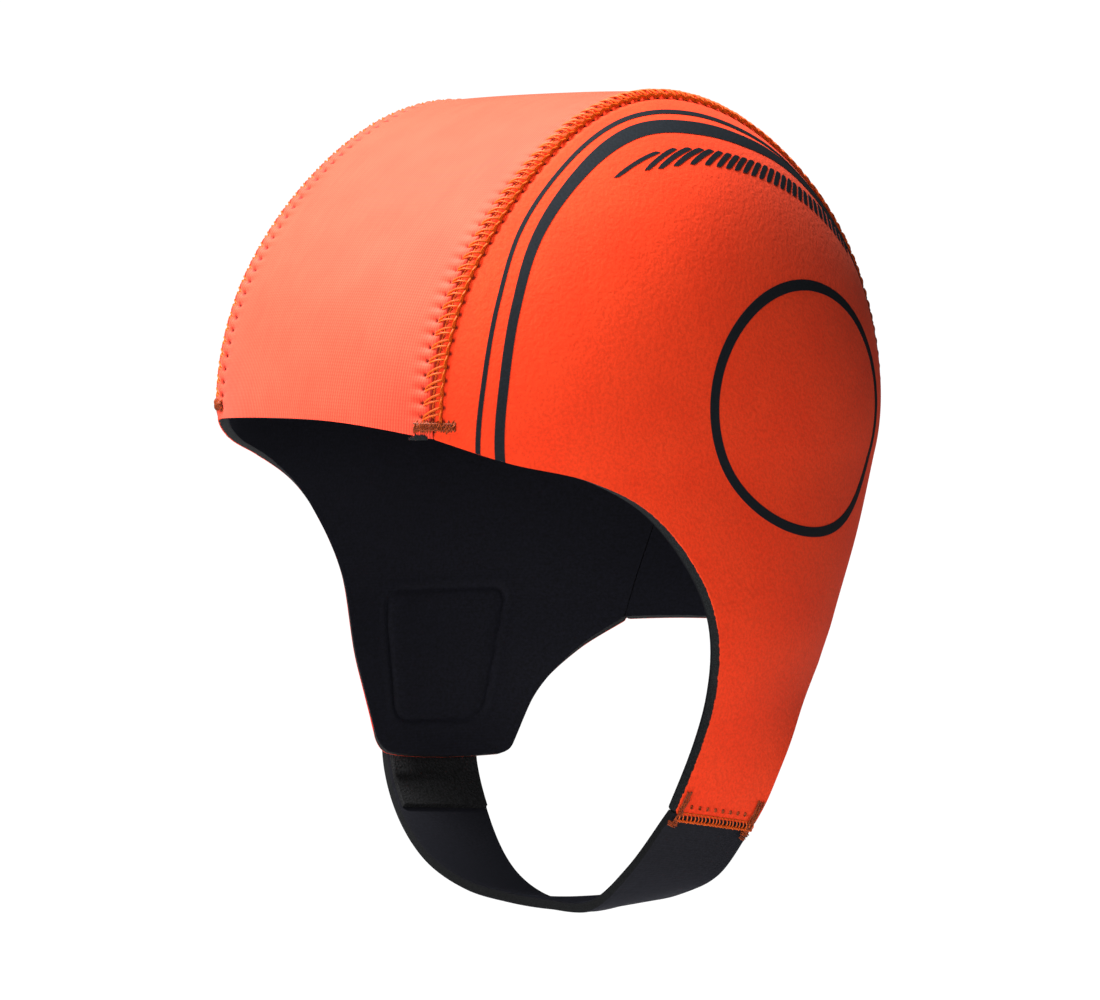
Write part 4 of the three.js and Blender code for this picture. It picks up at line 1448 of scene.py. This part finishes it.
def needle_holes():
    """The row of sunk needle holes over the strap seam, each a small dark thread end in a dimple"""
    routes = []
    for k in range(1, NEEDLE_HOLES):
        shares = np.full(4, lerp(0.08, 0.92, k / NEEDLE_HOLES))
        routes.append((on_flap_end(shares, np.linspace(-2.7, -2.0, 4), [-0.1, 0.12, 0.12, -0.1]), 0.42))
    return tubes("strap_seam_needle_stitches", routes, TACK_THREAD)


def strap_seam():
    rng = np.random.default_rng(5)
    return [strap_seam_stitches(rng), strap_seam_tacks(rng), needle_holes()]


# Assembly


def dressed(piece, slot, *nodes):
    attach(piece, "root")
    if nodes:
        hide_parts(*nodes)
    return piece


# The stage in metres, and how bright the plain background looks and lights the cap
FLOOR_RADIUS = 0.4
FLOOR_HEIGHT = CAD_LOW[2] - 0.06
BACKGROUND = 1.05
AMBIENT = 0.08
# The lights: (name, place to the camera's right, up and back in millimetres, metres across, watts)
LIGHTS = [("key", (-420, 905, 128), 0.55, 43), ("fill", (-410, -60, 1140), 0.7, 10)]


def aimed(name, data, spot, toward):
    """A camera or a lamp at a spot in millimetres, facing along a direction"""
    placed = bpy.data.objects.new(name, data)
    placed.location = spot * MM
    placed.rotation_mode = "QUATERNION"
    placed.rotation_quaternion = Vector(toward).to_track_quat("-Z", "Y")
    bpy.context.scene.collection.objects.link(placed)
    return placed


def camera_and_lights():
    turn, rise = math.radians(VIEW["azimuth"]), math.radians(VIEW["elevation"])
    back = np.array([math.sin(turn) * math.cos(rise), -math.cos(turn) * math.cos(rise), math.sin(rise)])
    right = np.array([math.cos(turn), math.sin(turn), 0])
    axes = np.array([right, np.cross(back, right), back])
    middle = np.array([0, 0, EQUATOR])
    data = bpy.data.cameras.new("camera")
    data.lens = VIEW["lens"]
    data.sensor_width = 36
    data.clip_start, data.clip_end = 0.05, 20
    spot = middle + np.array([VIEW["right"], VIEW["up"], VIEW["distance"]]) @ axes
    bpy.context.scene.camera = aimed("camera", data, spot, -back)
    for name, place, size, power in LIGHTS:
        lamp = bpy.data.lights.new(name, "AREA")
        lamp.shape = "DISK"
        lamp.size = size
        lamp.energy = power
        spot = np.array(place) @ axes
        aimed(name, lamp, spot, middle - spot)


def background():
    """A plain white background that lights the cap less than the camera sees of it"""
    world = bpy.data.worlds.new("studio")
    world.use_nodes = True
    tree = world.node_tree
    seen = add(tree, "ShaderNodeLightPath").outputs["Is Camera Ray"]
    strength = math_node(tree, "MULTIPLY_ADD", seen, BACKGROUND - AMBIENT, AMBIENT)
    tree.links.new(strength, tree.nodes["Background"].inputs["Strength"])
    tree.nodes["Background"].inputs["Color"].default_value = (1, 1, 1, 1)
    bpy.context.scene.world = world
    bpy.context.scene.view_settings.view_transform = "Standard"


def floor():
    """A small pale painted board under the cap"""
    material, tree, shader = new_material("pale_painted_board", Roughness=0.9, Specular_IOR_Level=0.1)
    tone = mixed(tree, noise(tree, object_place(tree), 300), hexed("#d0d0d0"), hexed("#d6d6d6"))
    tree.links.new(tone, shader.inputs["Base Color"])
    turns = np.linspace(0, 2 * math.pi, 97)[:-1]
    rim = np.stack([FLOOR_RADIUS * np.cos(turns), FLOOR_RADIUS * np.sin(turns), 0 * turns + FLOOR_HEIGHT], -1)
    mesh = bpy.data.meshes.new("floor")
    mesh.from_pydata(rim.tolist(), [], [tuple(range(len(rim)))])
    finished("floor", mesh, [material], 80)


camera_and_lights()
background()
floor()
centre = dressed(centre_panel(), "centre_jersey", "centre_panel")
left = dressed(side_panel("left"), "side_jersey", "left_side_panel")
right_side = dressed(side_panel("right"), "side_jersey", "right_side_panel")
strap = dressed(chin_strap(), "strap_jersey", "chin_strap")
dressed(hook_patch(), "hook_tape", "hook_patch")
dressed(loop_patch(), "loop_tape", "loop_patch")

for name in SIDES:
    dressed(band(name, "thin", 1, 2), "print_ink")
    dressed(band(name, "thick", 3, 4), "print_ink")
    dressed(dashes(name), "print_ink")
    dressed(ring(name), "print_ink")
    for piece in flatlock_seam(name):
        dressed(piece, "seam_thread")
    dressed(bar_tack(name, first_stitch(name) - TACK_BEFORE, "brow"), "seam_thread")
    dressed(bar_tack(name, STITCH_END + TACK_PAST, "nape"), "seam_thread")
dressed(worn_foot("left"), "foam_edge")
for piece in strap_seam():
    dressed(piece, "seam_thread")
